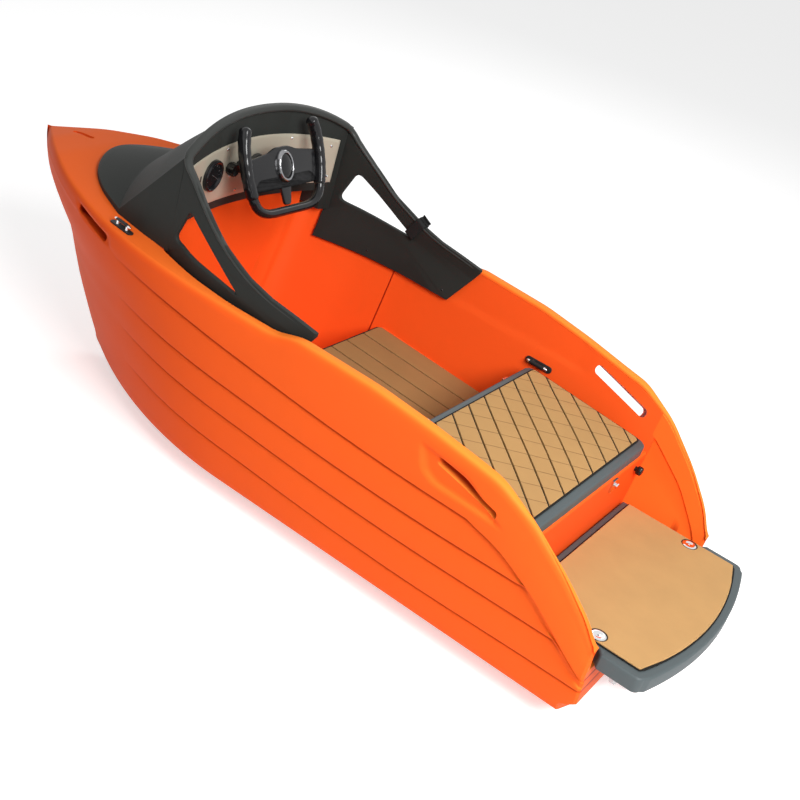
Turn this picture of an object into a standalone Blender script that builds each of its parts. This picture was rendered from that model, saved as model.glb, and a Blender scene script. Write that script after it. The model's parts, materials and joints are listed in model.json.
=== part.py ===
"""Electric jet boat: hull, cockpit liner, cowl, controls, seat, swim platform and jet drive.

Metres. +X points to the bow, +Y to port, +Z up. The origin is on the floor, midway along the
boat's length and beam, so that the flat keel pad stands at height zero.
"""

import math

import bmesh
import bpy
import numpy as np
from mathutils import Matrix, Vector

# Driving dimensions of the whole boat
TRANSOM_X = -1.045
TRANSOM_STEP = 0.040
TRANSOM_STEP_Z = 0.120
DECK_Z = 0.662
COAMING_Z = 0.688
FULL_BEAM_X = 0.115
SHEER_HALF = 0.447
STERN_SHEER_HALF = 0.430
CHINE_HALF = 0.288
CHINE_Z = 0.077
KEEL_PAD_HALF = 0.135
SHEER_TAPER = 0.750
SIDE_BULGE = 0.007
LINER_SKIN = 0.010
GAP = 0.0003

# Height of the gunwale along the boat, from the foot of the tail fins to the tip of the prow
GUNWALE_LINE = (
    (-1.045, 0.327),
    (-1.030, 0.360),
    (-1.005, 0.400),
    (-0.925, 0.484),
    (-0.820, 0.573),
    (-0.715, 0.628),
    (-0.510, 0.662),
    (-0.360, 0.680),
    (-0.130, COAMING_Z),
    (-0.050, DECK_Z),
    (0.960, DECK_Z),
    (1.080, 0.650),
    (1.219, 0.618),
)
# Profile of the stem, from the forefoot to the tip of the prow: height, position
STEM_LINE = (
    (0.000, 0.830),
    (0.030, 0.868),
    (0.107, 0.921),
    (0.235, 1.003),
    (0.341, 1.052),
    (0.442, 1.099),
    (0.518, 1.170),
    (0.570, 1.212),
    (0.618, 1.219),
)
# Thickness of the hull's double side between its outer face and the cockpit: position, thickness
SIDE_WALL_LINE = (
    (-1.045, 0.012),
    (-0.900, 0.020),
    (-0.800, 0.027),
    (-0.700, 0.040),
    (0.100, 0.040),
    (0.250, 0.055),
    (0.390, 0.082),
    (0.500, 0.105),
)
# Round of the gunwale: drop below its top, inset from the side
GUNWALE_ROUND = ((0.034, 0.0), (0.012, 0.004), (0.0, 0.018))
# Lower edges of the four upper strakes, the lowest first
LAP_HEIGHTS = (0.189, 0.301, 0.404, 0.513)
LAP_EDGE = 0.003
LAP_STEP = 0.006
LAP_FADE_X = (0.50, 0.64)
LAP_SPACING = 0.012
LAP_BOW_RISE = 0.030
# Lower edge of the tail fins' belt, which the top lap runs into: position, height
ARC_LINE = (
    (-1.045, 0.231),
    (-1.013, 0.258),
    (-0.937, 0.328),
    (-0.866, 0.391),
    (-0.780, 0.444),
    (-0.692, 0.485),
    (-0.600, 0.513),
)
ARC_STEP = 0.014
ARC_STEP_X = (-1.000, -0.600)
HULL_STATIONS = (-1.045, -1.030, -1.005, -0.965, -0.925, -0.870, -0.820, -0.765, -0.715, -0.660,
                 -0.600, -0.510, -0.360, -0.230, -0.130, -0.050, 0.040, 0.115)
BOW_FRACTIONS = (0.12, 0.24, 0.36, 0.48, 0.60, 0.70, 0.79, 0.87, 0.94, 1.00)

# Grab handle slots in the sides: ends of the centre line as position and height
HANDLES = (
    {"name": "stern_handle", "aft": (-0.745, 0.549), "fore": (-0.567, 0.606), "height": 0.034,
     "reach": (0.30, 0.48)},
    {"name": "bow_handle", "aft": (0.590, 0.600), "fore": (0.700, 0.632), "height": 0.026,
     "reach": (0.27, 0.46)},
)
# Dish round each handle slot: width and depth of its bevelled rim, and its drop below the slot
DISH_RIM = 0.014
DISH_DEPTH = 0.009
DISH_DROP = 0.004
DISH_ROOM = 0.010
# Slot in the deck behind the tip of the prow: ends, width and floor
PROW_SLOT = {"x": (1.024, 1.108), "width": 0.016, "floor": 0.622}

# Cockpit floors of the liner, from the stern deck to the footwell
STERN_DECK_Z = 0.2785
SEAT_REAR_X = -0.800
SEAT_FRONT_X = -0.395
SEAT_DECK_Z = (0.466, 0.500)
STEP_FRONT_X = 0.090
STEP_Z = (0.373, 0.405)
FOOTWELL_Z = 0.200
WELL_FRONT_X = 0.470
WELL_ROWS = (0.520, 0.600)
WELL_TOP_Z = 0.800
RIM_DROP = 0.004
HATCH = ((-0.745, -0.445), 0.190)
MACHINERY_HALF = 0.200
MACHINERY_Z = 0.048
MACHINERY_X = (-0.775, -0.040)

# Seat lid, step boards and swim platform
LID_THICKNESS = 0.040
FOAM = 0.006
LID_LENGTH = 0.400
LID_SIDE_GAP = 0.0317
LID_MARGIN = 0.017
STEP_BOARD = 0.008
STEP_SIDE_GAP = 0.0075
PLATFORM_THICKNESS = 0.045
PLATFORM_SEAT_GAP = 0.0035
PLATFORM_AFT_X = -1.165
PLATFORM_ARC_X = -1.219
PLATFORM_SIDE_GAP = 0.0035
PLATFORM_FLARE = 0.021
PLATFORM_MARGIN = 0.020
PLATFORM_FOAM_GAP = 0.004
PLATFORM_CORNERS = {"platform": 0.020, "foam": 0.006}
EYE_X = -1.021
EYE_INSET = 0.026
EYE_RADIUS = 0.022
DRAIN_KNOB = {"inset": 0.0495, "z": 0.435}
BOW_CLEAT = {"x": 0.520, "inset": 0.0348, "turn": math.radians(-9.0)}
SEAT_CLEAT = {"x": -0.415, "z": 0.536}

# Cowl: centre line and edge of its sections, nose first, as centre x, edge x, the edge's share
# of the hull's half beam there, centre height and edge height
COWL_SECTIONS = (
    (0.922, 0.920, 0.0842, 0.672, 0.672),
    (0.912, 0.858, 0.5268, 0.684, 0.673),
    (0.850, 0.740, 0.7409, 0.704, 0.674),
    (0.708, 0.590, 0.8196, 0.748, 0.676),
    (0.570, 0.478, 0.8186, 0.873, 0.800),
    (0.433, 0.372, 0.8190, 0.998, 0.922),
)
# Knee room cut in the cowl's foot under the dash, where the liner's bulkhead stands up
KNEE_ROOM_X = (0.360, 0.4803)
KNEE_ROOM_MARGIN = 0.055
COWL_ROWS = (0.0, 0.22, 0.44, 0.64, 0.82, 0.94, 1.0)
COWL_PLATE = 0.014
# Arm of the cowl: position, lower edge, upper edge
ARM_LINE = (
    (-0.146, 0.690, 0.699),
    (-0.076, 0.572, 0.709),
    (0.000, 0.572, 0.718),
    (0.076, 0.572, 0.737),
    (0.183, 0.572, 0.783),
    (0.270, 0.572, 0.843),
    (0.372, 0.572, 0.920),
    (0.380, 0.572, 0.700),
    (0.462, 0.572, 0.700),
)
ARM_LEAN = 0.10
ARM_CLEARANCE = 0.0025
WINDOW = ((0.318, 0.804), (0.357, 0.705), (0.0885, 0.681))
WINDOW_RADIUS = 0.0085
BAND_PLACE = (0.1185, 0.727)
BAND_TURN = math.radians(-28.2)
BAND_HALF = (0.009, 0.0160, 0.0310)
BAND_CORD = 0.003

# Dashboard
DASH_MARGIN = 0.037
DASH_Z = (0.750, 0.912)
DASH_DROP = 0.030
DASH_SHEET = 0.003
DASH_INSTRUMENTS = (
    {"name": "speed_gauge", "y": 0.193, "z": 0.833, "radius": 0.044, "depth": 0.012},
    {"name": "power_knob", "y": 0.112, "z": 0.838, "radius": 0.020, "depth": 0.024},
    {"name": "lights_knob", "y": 0.068, "z": 0.838, "radius": 0.020, "depth": 0.024},
)

# Steering
WHEEL_CENTRE = (0.330, 0.0, 0.868)
WHEEL_RAKE = math.radians(25.0)
WHEEL_HALF_WIDTH = 0.156
WHEEL_TOP = 0.114
WHEEL_BOTTOM = -0.118
GRIP_RADIUS = 0.016
RIM_RADIUS = 0.013
COLUMN_RADIUS = 0.020
FLANGE_RADIUS = 0.036
SPOKE_THICKNESS = 0.010
SHAFT_GAP = 0.0008

# Jet drive
JET_Z = 0.118
PUMP_BORE = 0.058
PUMP_WALL = 0.009
TUNNEL_CLEARANCE = 0.0008
PUMP_FRONT_X = -0.900
FLANGE = 0.006
FLANGE_LIP = 0.014
OUTLET_RADIUS = 0.042
OUTLET_X = -1.100
NOZZLE_PIVOT_X = -1.090
NOZZLE_X = (-1.108, -1.138)
INTAKE_X = (-0.925, -0.765)
INTAKE_HALF = 0.052
SHAFT_RADIUS = 0.0095
MOTOR = {"x": (-0.700, -0.500), "radius": JET_Z - MACHINERY_Z - GAP}
BATTERY = {"x": (-0.370, -0.070), "half": 0.150, "height": 0.220}
IMPELLER_X = (-0.960, -0.915)

MATERIALS = {
    "hull_orange": ((1.0, 0.13, 0.021), 0.42, 0.0),
    "cowl_grey": ((0.032, 0.032, 0.030), 0.6, 0.0),
    "slab_grey": ((0.045, 0.056, 0.058), 0.55, 0.0),
    "foam_tan": ((0.60, 0.36, 0.16), 0.85, 0.0),
    "panel_steel": ((0.50, 0.45, 0.36), 0.32, 1.0),
    "gloss_black": ((0.010, 0.010, 0.011), 0.18, 0.0),
    "matte_black": ((0.020, 0.020, 0.020), 0.55, 0.0),
    "chrome": ((0.72, 0.72, 0.73), 0.12, 1.0),
    "cast_alloy": ((0.42, 0.43, 0.44), 0.45, 1.0),
    "battery_case": ((0.05, 0.08, 0.12), 0.6, 0.0),
}

PARTS = None
CUTTERS = None


def clear_scene():
    """Empties the scene and makes the two collections."""
    global PARTS, CUTTERS
    for old in list(bpy.data.objects):
        bpy.data.objects.remove(old, do_unlink=True)
    PARTS = bpy.data.collections.new("electric_jet_boat")
    CUTTERS = bpy.data.collections.new("cutters")
    for collection in (PARTS, CUTTERS):
        bpy.context.scene.collection.children.link(collection)


def material(name):
    """Returns the material of a name in MATERIALS, made at its first use."""
    found = bpy.data.materials.get(name)
    if found:
        return found
    colour, roughness, metallic = MATERIALS[name]
    made = bpy.data.materials.new(name)
    made.use_nodes = True
    shader = made.node_tree.nodes["Principled BSDF"]
    shader.inputs["Base Color"].default_value = (*colour, 1.0)
    shader.inputs["Roughness"].default_value = roughness
    shader.inputs["Metallic"].default_value = metallic
    made.diffuse_color = (*colour, 1.0)
    return made


def link(name, mesh, slot=None, matrix=None):
    """Makes an object of a mesh: a part if it has a material, a cutter if not."""
    made = bpy.data.objects.new(name, mesh)
    if matrix is not None:
        made.matrix_world = matrix
    if slot:
        PARTS.objects.link(made)
        mesh.materials.clear()
        mesh.materials.append(material(slot))
    else:
        CUTTERS.objects.link(made)
        made.hide_render = True
        made.display_type = "WIRE"
    return made


def from_bmesh(bm, name):
    """Writes a bmesh, its normals outward, to a new mesh."""
    bmesh.ops.recalc_face_normals(bm, faces=bm.faces)
    mesh = bpy.data.meshes.new(name)
    bm.to_mesh(mesh)
    bm.free()
    return mesh


def smooth(made, degrees=35):
    """Shades an object's mesh smooth, sharp above an angle."""
    made.data.shade_smooth()
    made.data.set_sharp_from_angle(angle=math.radians(degrees))
    return made


def mirror(made):
    """Adds the starboard half."""
    modifier = made.modifiers.new("mirror", "MIRROR")
    modifier.use_axis = (False, True, False)
    modifier.merge_threshold = 0.00001
    return made


def bevel(made, width, segments=2, degrees=30):
    """Rounds the edges that are sharper than an angle."""
    modifier = made.modifiers.new("bevel", "BEVEL")
    modifier.width = width
    modifier.segments = segments
    modifier.limit_method = "ANGLE"
    modifier.angle_limit = math.radians(degrees)
    return made


def cut(made, cutter, operation="DIFFERENCE"):
    """Cuts or joins a part with another object."""
    modifier = made.modifiers.new(cutter.name, "BOOLEAN")
    modifier.operation = operation
    modifier.object = cutter
    return made


def box(name, lower, upper, slot=None, matrix=None):
    """A box between two corners."""
    bm = bmesh.new()
    bmesh.ops.create_cube(bm, size=1.0)
    low = Vector(lower)
    high = Vector(upper)
    size = high - low
    for vertex in bm.verts:
        vertex.co = Vector([(low[i] + high[i]) / 2 + vertex.co[i] * size[i] for i in range(3)])
    return link(name, from_bmesh(bm, name), slot, matrix)


def cylinder(name, radius, start, end, slot=None, sides=32, end_radius=None):
    """A cylinder or cone from one centre to another."""
    first = Vector(start)
    last = Vector(end)
    axis = last - first
    bm = bmesh.new()
    bmesh.ops.create_cone(bm, cap_ends=True, segments=sides, radius1=radius,
                          radius2=radius if end_radius is None else end_radius,
                          depth=axis.length)
    turn = axis.to_track_quat("Z", "Y").to_matrix().to_4x4()
    place = Matrix.Translation((first + last) / 2) @ turn
    return link(name, from_bmesh(bm, name), slot, place)


def turned(name, profile, slot, matrix, steps=32):
    """A profile of radius and height pairs, top to bottom, turned about local Z."""
    mesh = bpy.data.meshes.new(name)
    points = [(radius, 0.0, height) for radius, height in profile]
    edges = [(i, i + 1) for i in range(len(points) - 1)]
    if profile[0][0] > 0:
        edges.append((len(points) - 1, 0))
    mesh.from_pydata(points, edges, [])
    made = link(name, mesh, slot, matrix)
    screw = made.modifiers.new("screw", "SCREW")
    screw.axis = "Z"
    screw.steps = steps
    screw.render_steps = steps
    screw.use_merge_vertices = True
    screw.merge_threshold = 0.00001
    return made


def tube(name, points, radius, slot, matrix=None, cyclic=False, resolution=3):
    """A round bar along points."""
    curve = bpy.data.curves.new(name, "CURVE")
    curve.dimensions = "3D"
    curve.bevel_depth = radius
    curve.bevel_resolution = resolution
    curve.use_fill_caps = not cyclic
    spline = curve.splines.new("POLY")
    spline.points.add(len(points) - 1)
    for point, place in zip(spline.points, points):
        point.co = (*place, 1.0)
    spline.use_cyclic_u = cyclic
    return link(name, curve, slot, matrix)


def slab(name, outline, bottom, top, slot=None, matrix=None):
    """A flat outline in X and Y, raised between two heights."""
    bm = bmesh.new()
    lower = [bm.verts.new((x, y, bottom)) for x, y in outline]
    upper = [bm.verts.new((x, y, top)) for x, y in outline]
    count = len(outline)
    bm.faces.new(lower)
    bm.faces.new(upper)
    for i in range(count):
        j = (i + 1) % count
        bm.faces.new((lower[i], lower[j], upper[j], upper[i]))
    return link(name, from_bmesh(bm, name), slot, matrix)


def loft(name, rings, slot=None, closed=False):
    """Skins a list of rings with equal counts; closed rings get end caps."""
    bm = bmesh.new()
    rows = [[bm.verts.new(point) for point in ring] for ring in rings]
    count = len(rings[0])
    last = count if closed else count - 1
    for one, two in zip(rows, rows[1:]):
        for i in range(last):
            j = (i + 1) % count
            bm.faces.new((one[i], one[j], two[j]))
            bm.faces.new((one[i], two[j], two[i]))
    bm.faces.new(rows[0])
    bm.faces.new(rows[-1])
    bmesh.ops.remove_doubles(bm, verts=bm.verts, dist=0.00002)
    bmesh.ops.dissolve_degenerate(bm, edges=bm.edges, dist=0.00002)
    return link(name, from_bmesh(bm, name), slot)


def rounded(width, depth, radius, steps=4):
    """Outline of a rectangle with round corners, centred at the origin."""
    points = []
    for corner in range(4):
        sign_x = (1, -1, -1, 1)[corner]
        sign_y = (1, 1, -1, -1)[corner]
        for step in range(steps + 1):
            angle = math.radians(90 * corner + 90 * step / steps)
            points.append((sign_x * (depth / 2 - radius) + radius * math.cos(angle),
                           sign_y * (width / 2 - radius) + radius * math.sin(angle)))
    return points


def gunwale_z(x):
    """Height of the gunwale at a position along the boat."""
    line = np.array(GUNWALE_LINE)
    return float(np.interp(x, line[:, 0], line[:, 1]))


def stem_x(z):
    """Position of the stem at a height."""
    line = np.array(STEM_LINE)
    return float(np.interp(z, line[:, 0], line[:, 1]))


def hull_half(x, z):
    """Half beam of the outer hull at a position and a height above the chine."""
    rise = (z - CHINE_Z) / (DECK_Z - CHINE_Z)
    aft = min(max((FULL_BEAM_X - x) / SHEER_TAPER, 0.0), 1.0)
    sheer = SHEER_HALF + (STERN_SHEER_HALF - SHEER_HALF) * aft
    half = CHINE_HALF + (sheer - CHINE_HALF) * rise
    half += SIDE_BULGE * math.sin(math.pi * min(max(rise, 0.0), 1.0))
    if x > FULL_BEAM_X:
        reach = stem_x(z) - FULL_BEAM_X
        fraction = min((x - FULL_BEAM_X) / reach, 1.0)
        power = 1.9 + 0.5 * min(max(rise, 0.0), 1.0)
        half *= 1.0 - fraction ** power
    return half


def side_wall(x):
    """Thickness of the hull's side at a position along the boat."""
    line = np.array(SIDE_WALL_LINE)
    return float(np.interp(x, line[:, 0], line[:, 1]))


def well_half(x, z):
    """Half width of the cockpit between the liner's inner faces."""
    return hull_half(x, z) - side_wall(x)


def slope(x, ends, heights):
    """Height on a straight slope between two positions."""
    share = (x - ends[0]) / (ends[1] - ends[0])
    return heights[0] + (heights[1] - heights[0]) * share


def seat_deck_z(x):
    """Height of the liner's seat deck."""
    return slope(x, (SEAT_REAR_X, SEAT_FRONT_X), SEAT_DECK_Z)


def step_z(x):
    """Height of the liner's step deck."""
    return slope(x, (SEAT_FRONT_X, STEP_FRONT_X), STEP_Z)


def station_x(station, z):
    """Position along the boat of a numbered station at a height."""
    if station < len(HULL_STATIONS):
        x = HULL_STATIONS[station]
        if z < TRANSOM_STEP_Z:
            x += TRANSOM_STEP * max(1.0 - (x - TRANSOM_X) / (2 * TRANSOM_STEP), 0.0)
        return x
    fraction = BOW_FRACTIONS[station - len(HULL_STATIONS)]
    return FULL_BEAM_X + fraction * (stem_x(z) - FULL_BEAM_X)


def lap_z(number, x):
    """Height of a numbered lap: level along the sides, and under the tail fins' arc aft."""
    line = np.array(ARC_LINE)
    top = min(float(np.interp(x, line[:, 0], line[:, 1])), LAP_HEIGHTS[-1])
    below = len(LAP_HEIGHTS) - 1 - number
    return min(LAP_HEIGHTS[number], top - LAP_SPACING * below)


def lap_step(number, x):
    """How far a numbered lap stands proud: the top one grows aft, the others end at the arc."""
    fade = float(np.interp(x, LAP_FADE_X, (1.0, 0.0)))
    top = len(LAP_HEIGHTS) - 1
    if number == top:
        return fade * float(np.interp(x, ARC_STEP_X, (ARC_STEP, LAP_STEP)))
    room = (lap_z(top, x) - LAP_HEIGHTS[number]) / (2 * LAP_SPACING)
    return fade * LAP_STEP * min(max(room, 0.0), 1.0)


def hull_ring(station):
    """Port half of the hull's section, from the keel to the middle of the deck."""
    bow = 0.0
    if station >= len(HULL_STATIONS):
        bow = BOW_FRACTIONS[station - len(HULL_STATIONS)]
    keel_z = 0.030 * bow ** 6
    pad = KEEL_PAD_HALF * (1.0 - bow ** 2.2)
    points = []
    x = station_x(station, keel_z)
    points.append((x, 0.0, keel_z))
    points.append((x, pad, keel_z))
    chine_z = CHINE_Z + (0.060 - CHINE_Z) * bow ** 2
    x = station_x(station, chine_z)
    points.append((x, hull_half(x, chine_z), chine_z))
    top = gunwale_z(station_x(station, STEM_LINE[-1][0]))
    for number in range(len(LAP_HEIGHTS)):
        z = lap_z(number, station_x(station, LAP_HEIGHTS[number])) + LAP_BOW_RISE * bow ** 2
        x = station_x(station, z)
        half = hull_half(x, z)
        points.append((x, half, z - LAP_EDGE))
        points.append((x, half + lap_step(number, x), z))
    for drop, inset in GUNWALE_ROUND:
        z = top - drop
        x = station_x(station, z)
        half = hull_half(x, z)
        points.append((x, max(half - inset, 0.0) if bow < 1.0 else 0.0, z))
    x = station_x(station, top)
    points.append((x, 0.0, top))
    return points


def well_solid(name, skin, side, top, slot=None, clearance=0.0, stern_side=0.0):
    """A solid that fills the cockpit, grown by a skin below and a side skin at the walls.

    The stern end runs past the transom for a cutter and stops short of it for the liner. Aft of
    the seat the fins are the hull's own, so the side there is stern_side.
    """
    shift = skin - clearance
    tail = TRANSOM_X + TRANSOM_STEP + 0.002
    seam = SEAT_REAR_X - 0.001 + clearance
    seat_rear = SEAT_REAR_X + shift
    seat_front = SEAT_FRONT_X - shift
    step_front = STEP_FRONT_X - shift
    front = WELL_FRONT_X + shift
    floors = [] if slot else [(TRANSOM_X - 0.2, STERN_DECK_Z, stern_side)]
    deck = [tail + (SEAT_REAR_X - tail) * share for share in (0.0, 0.19, 0.51)]
    for x in (*deck, seam):
        floors.append((x, STERN_DECK_Z, stern_side))
    for x in (seam, seat_rear):
        floors.append((x, STERN_DECK_Z, side))
    for x in (seat_rear, -0.700, -0.550, seat_front):
        floors.append((x, seat_deck_z(x), side))
    for x in (seat_front, -0.230, -0.130, -0.050, step_front):
        floors.append((x, step_z(x), side))
    for x in (step_front, 0.115, 0.190, 0.260, 0.330, 0.400, front):
        floors.append((x, FOOTWELL_Z, side))
    rings = []
    for x, floor, margin in floors:
        low = floor - shift
        heights = [low, *WELL_ROWS, DECK_Z, top]
        halves = [well_half(max(x, TRANSOM_X), z) + margin - clearance for z in heights]
        port = [(x, half, z) for half, z in zip(halves, heights)]
        starboard = [(x, -half, z) for half, z in zip(halves, heights)]
        rings.append(port + starboard[::-1])
    return loft(name, rings, slot, closed=True)


def handle_cutter(name, place, side):
    """A slot with round ends, cut in a side between its inner and outer half widths."""
    start, end = place["aft"], place["fore"]
    lower_half, upper_half = place["reach"]
    height = place["height"]
    length = math.hypot(end[0] - start[0], end[1] - start[1])
    angle = math.atan2(end[1] - start[1], end[0] - start[0])
    outline = rounded(height, length, height * 0.42, 4)
    middle = Vector(((start[0] + end[0]) / 2, side * (lower_half + upper_half) / 2,
                     (start[1] + end[1]) / 2))
    stand = Matrix.Rotation(math.radians(90.0), 4, "X")
    turn = Matrix.Rotation(-angle, 4, "Y")
    reach = (upper_half - lower_half) / 2
    place = Matrix.Translation(middle) @ turn @ stand
    return slab(name, outline, -reach, reach, None, place)


def dish_cutter(name, place, side):
    """A shallow dish with a bevelled rim round a handle slot, square to the hull's side."""
    start, end = place["aft"], place["fore"]
    x, z = (start[0] + end[0]) / 2, (start[1] + end[1]) / 2
    reach = 0.020
    along = (hull_half(x + reach, z) - hull_half(x - reach, z)) / (2 * reach)
    upward = (hull_half(x, z + reach) - hull_half(x, z - reach)) / (2 * reach)
    out = Vector((-along, side, -upward)).normalized()
    slot = Vector((end[0] - start[0], 0.0, end[1] - start[1]))
    length = slot.length
    ahead = (slot - out * slot.dot(out)).normalized()
    lift = Vector((0.0, 0.0, 1.0)) - ahead * ahead.z
    lift = (lift - out * lift.dot(out)).normalized()
    centre = Vector((x, side * hull_half(x, z), z))
    rings = []
    for level in (DISH_ROOM, -DISH_DEPTH):
        grow = DISH_RIM * (1.0 + level / DISH_DEPTH) + GAP
        height = place["height"] + 2 * grow
        middle = centre + out * level - lift * (DISH_DROP * grow / DISH_RIM)
        outline = rounded(height, length + 2 * grow, height * 0.42, 3)
        rings.append([middle + ahead * a + lift * b for a, b in outline])
    return loft(name, rings, closed=True)


def build_hull():
    """The orange hull: lapstrake sides, raked prow, round gunwale and tail fins."""
    count = len(HULL_STATIONS) + len(BOW_FRACTIONS)
    rings = [hull_ring(station) for station in range(count)]
    bm = bmesh.new()
    rows = [[bm.verts.new(point) for point in ring] for ring in rings]
    for one, two in zip(rows, rows[1:]):
        for i in range(len(one) - 1):
            bm.faces.new((one[i], one[i + 1], two[i + 1], two[i]))
    middle = [bm.verts.new((x, 0.0, z)) for x, y, z in rings[0]]
    for i in range(len(middle) - 1):
        bm.faces.new((rows[0][i], rows[0][i + 1], middle[i + 1], middle[i]))
    bmesh.ops.remove_doubles(bm, verts=bm.verts, dist=0.00002)
    bmesh.ops.dissolve_degenerate(bm, edges=bm.edges, dist=0.00002)
    hull = link("hull", from_bmesh(bm, "hull"), "hull_orange")
    mirror(hull)
    cut(hull, well_solid("well_cutter", LINER_SKIN, LINER_SKIN, WELL_TOP_Z))
    aft_x, fore_x = MACHINERY_X
    half = MACHINERY_HALF
    low = MACHINERY_Z
    cut(hull, box("machinery_cutter", (aft_x, -half, low), (SEAT_FRONT_X - 0.025, half, 0.53)))
    battery_top = step_z(SEAT_FRONT_X) - LINER_SKIN - 0.014
    cut(hull, box("battery_cutter", (SEAT_FRONT_X - 0.04, -half, low), (fore_x, half, battery_top)))
    for side, word in ((1, "port"), (-1, "starboard")):
        for place in HANDLES:
            cut(hull, dish_cutter(f"{place['name']}_dish_{word}", place, side))
            cut(hull, handle_cutter(f"{place['name']}_{word}", place, side))
    aft, fore = PROW_SLOT["x"]
    width = PROW_SLOT["width"]
    middle = Matrix.Translation(((aft + fore) / 2, 0.0, 0.0))
    cut(hull, slab("prow_slot", rounded(width, fore - aft, width * 0.45), PROW_SLOT["floor"],
                   DECK_Z + 0.02, None, middle))
    cut_jet(hull)
    return hull


def cut_jet(hull):
    """Cuts the intake duct, the pump tunnel and the shaft bore in the hull."""
    fore, aft = INTAKE_X[1], INTAKE_X[0]
    reach = PUMP_BORE + PUMP_WALL + TUNNEL_CLEARANCE
    crown = JET_Z + 0.050
    knee = JET_Z - 0.030
    outline = ((fore, 0.010), (fore, -0.01), (aft, -0.01), (aft, knee), (PUMP_FRONT_X - 0.01, crown),
               (PUMP_FRONT_X + 0.035, crown), (fore - 0.035, knee))
    stand = Matrix.Rotation(math.radians(90.0), 4, "X")
    duct = slab("duct_cutter", outline, -INTAKE_HALF - GAP, INTAKE_HALF + GAP, None, stand)
    cut(hull, duct)
    tunnel = cylinder("tunnel_cutter", reach, (PUMP_FRONT_X + 0.002, 0, JET_Z),
                      (TRANSOM_X - 0.1, 0, JET_Z))
    cut(hull, tunnel)
    bore = cylinder("shaft_cutter", SHAFT_RADIUS + 0.005, (PUMP_FRONT_X, 0, JET_Z),
                    (MACHINERY_X[0] + 0.01, 0, JET_Z), sides=20)
    cut(hull, bore)


def build_liner():
    """The cockpit liner: footwell, step deck, seat box with its hatch, and stern deck."""
    liner = well_solid("cockpit_liner", LINER_SKIN, LINER_SKIN, WELL_TOP_Z, "hull_orange",
                       clearance=GAP)
    cut(liner, well_solid("liner_cutter", 0.0, 0.0, WELL_TOP_Z + 0.02, stern_side=0.05))
    line = [(x, z - RIM_DROP) for x, z in GUNWALE_LINE]
    outline = [(-1.3, line[0][1])] + line + [(1.3, WELL_TOP_Z + 0.1), (-1.3, WELL_TOP_Z + 0.1)]
    stand = Matrix.Rotation(math.radians(90.0), 4, "X")
    cut(liner, slab("rim_cutter", outline, -0.6, 0.6, None, stand))
    inner = cowl_edge(-1) - KNEE_ROOM_MARGIN - 10 * GAP
    cut(liner, box("bulkhead_upstand", (WELL_FRONT_X, -inner, DECK_Z - 0.012),
                   (KNEE_ROOM_X[1] - 2 * GAP, inner, DASH_Z[0] - 2 * GAP)), "UNION")
    for side, word in ((1, "port"), (-1, "starboard")):
        cut(liner, handle_cutter(f"liner_handle_{word}", HANDLES[0], side))
    (aft, fore), half = HATCH
    cut(liner, box("hatch_cutter", (aft, -half, seat_deck_z(aft) - 0.030),
                   (fore, half, seat_deck_z(fore) + 0.030)))
    return liner


def cowl_edge(section):
    """Distance of the cowl's edge from the middle at a numbered section."""
    edge_x, edge_share = COWL_SECTIONS[section][1:3]
    return hull_half(edge_x, DECK_Z) * edge_share


def cowl_point(section, share):
    """A point of the cowl's upper face: section number and share of the way to its edge."""
    centre_x, edge_x, _, centre_z, edge_z = COWL_SECTIONS[section]
    power = 1.5 if section < 4 else 2.4
    return (centre_x + (edge_x - centre_x) * share ** 2, cowl_edge(section) * share,
            centre_z + (edge_z - centre_z) * share ** power)


def build_cowl():
    """The dark cowl: foredeck cover, windscreen hood and the two window arms."""
    bm = bmesh.new()
    top = []
    bottom = []
    for section in range(len(COWL_SECTIONS)):
        points = [cowl_point(section, share) for share in COWL_ROWS]
        top.append([bm.verts.new(point) for point in points])
        bottom.append([bm.verts.new((x, y, DECK_Z + GAP)) for x, y, z in points])
    columns = len(COWL_ROWS) - 1
    last = len(top) - 1
    for i in range(last):
        for j in range(columns):
            for grid in (top, bottom):
                bm.faces.new((grid[i][j], grid[i][j + 1], grid[i + 1][j + 1], grid[i + 1][j]))
        bm.faces.new((top[i][-1], top[i + 1][-1], bottom[i + 1][-1], bottom[i][-1]))
    for j in range(columns):
        for i in (0, last):
            bm.faces.new((top[i][j], top[i][j + 1], bottom[i][j + 1], bottom[i][j]))
    cowl = link("cowl", from_bmesh(bm, "cowl"), "cowl_grey")
    mirror(cowl)
    aft, fore = KNEE_ROOM_X
    half = cowl_edge(-1) - KNEE_ROOM_MARGIN
    cut(cowl, box("knee_room", (aft, -half, 0.6), (fore, half, DASH_Z[0] - GAP)))
    for side, word in ((1, "port"), (-1, "starboard")):
        arm = build_arm(f"arm_{word}", side)
        cut(cowl, arm, "UNION")
    return cowl


def arm_y(x, z):
    """Outer face of the cowl's arm at a position and height."""
    wall = well_half(x, min(z, DECK_Z)) - ARM_CLEARANCE
    return wall - ARM_LEAN * max(z - DECK_Z, 0.0)


def build_arm(name, side):
    """One arm plate with its window, standing inside the gunwale."""
    rings = []
    for x, low, high in ARM_LINE:
        heights = [low + (high - low) * share for share in (0.0, 0.35, 0.65, 1.0)]
        outer = [(x, side * arm_y(x, z), z) for z in heights]
        inner = [(x, side * (arm_y(x, z) - COWL_PLATE), z) for z in heights]
        rings.append(outer + inner[::-1])
    arm = loft(name, rings, None, closed=True)
    arm.display_type = "WIRE"
    cut(arm, window_cutter(f"window_{name}"))
    return arm


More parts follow.
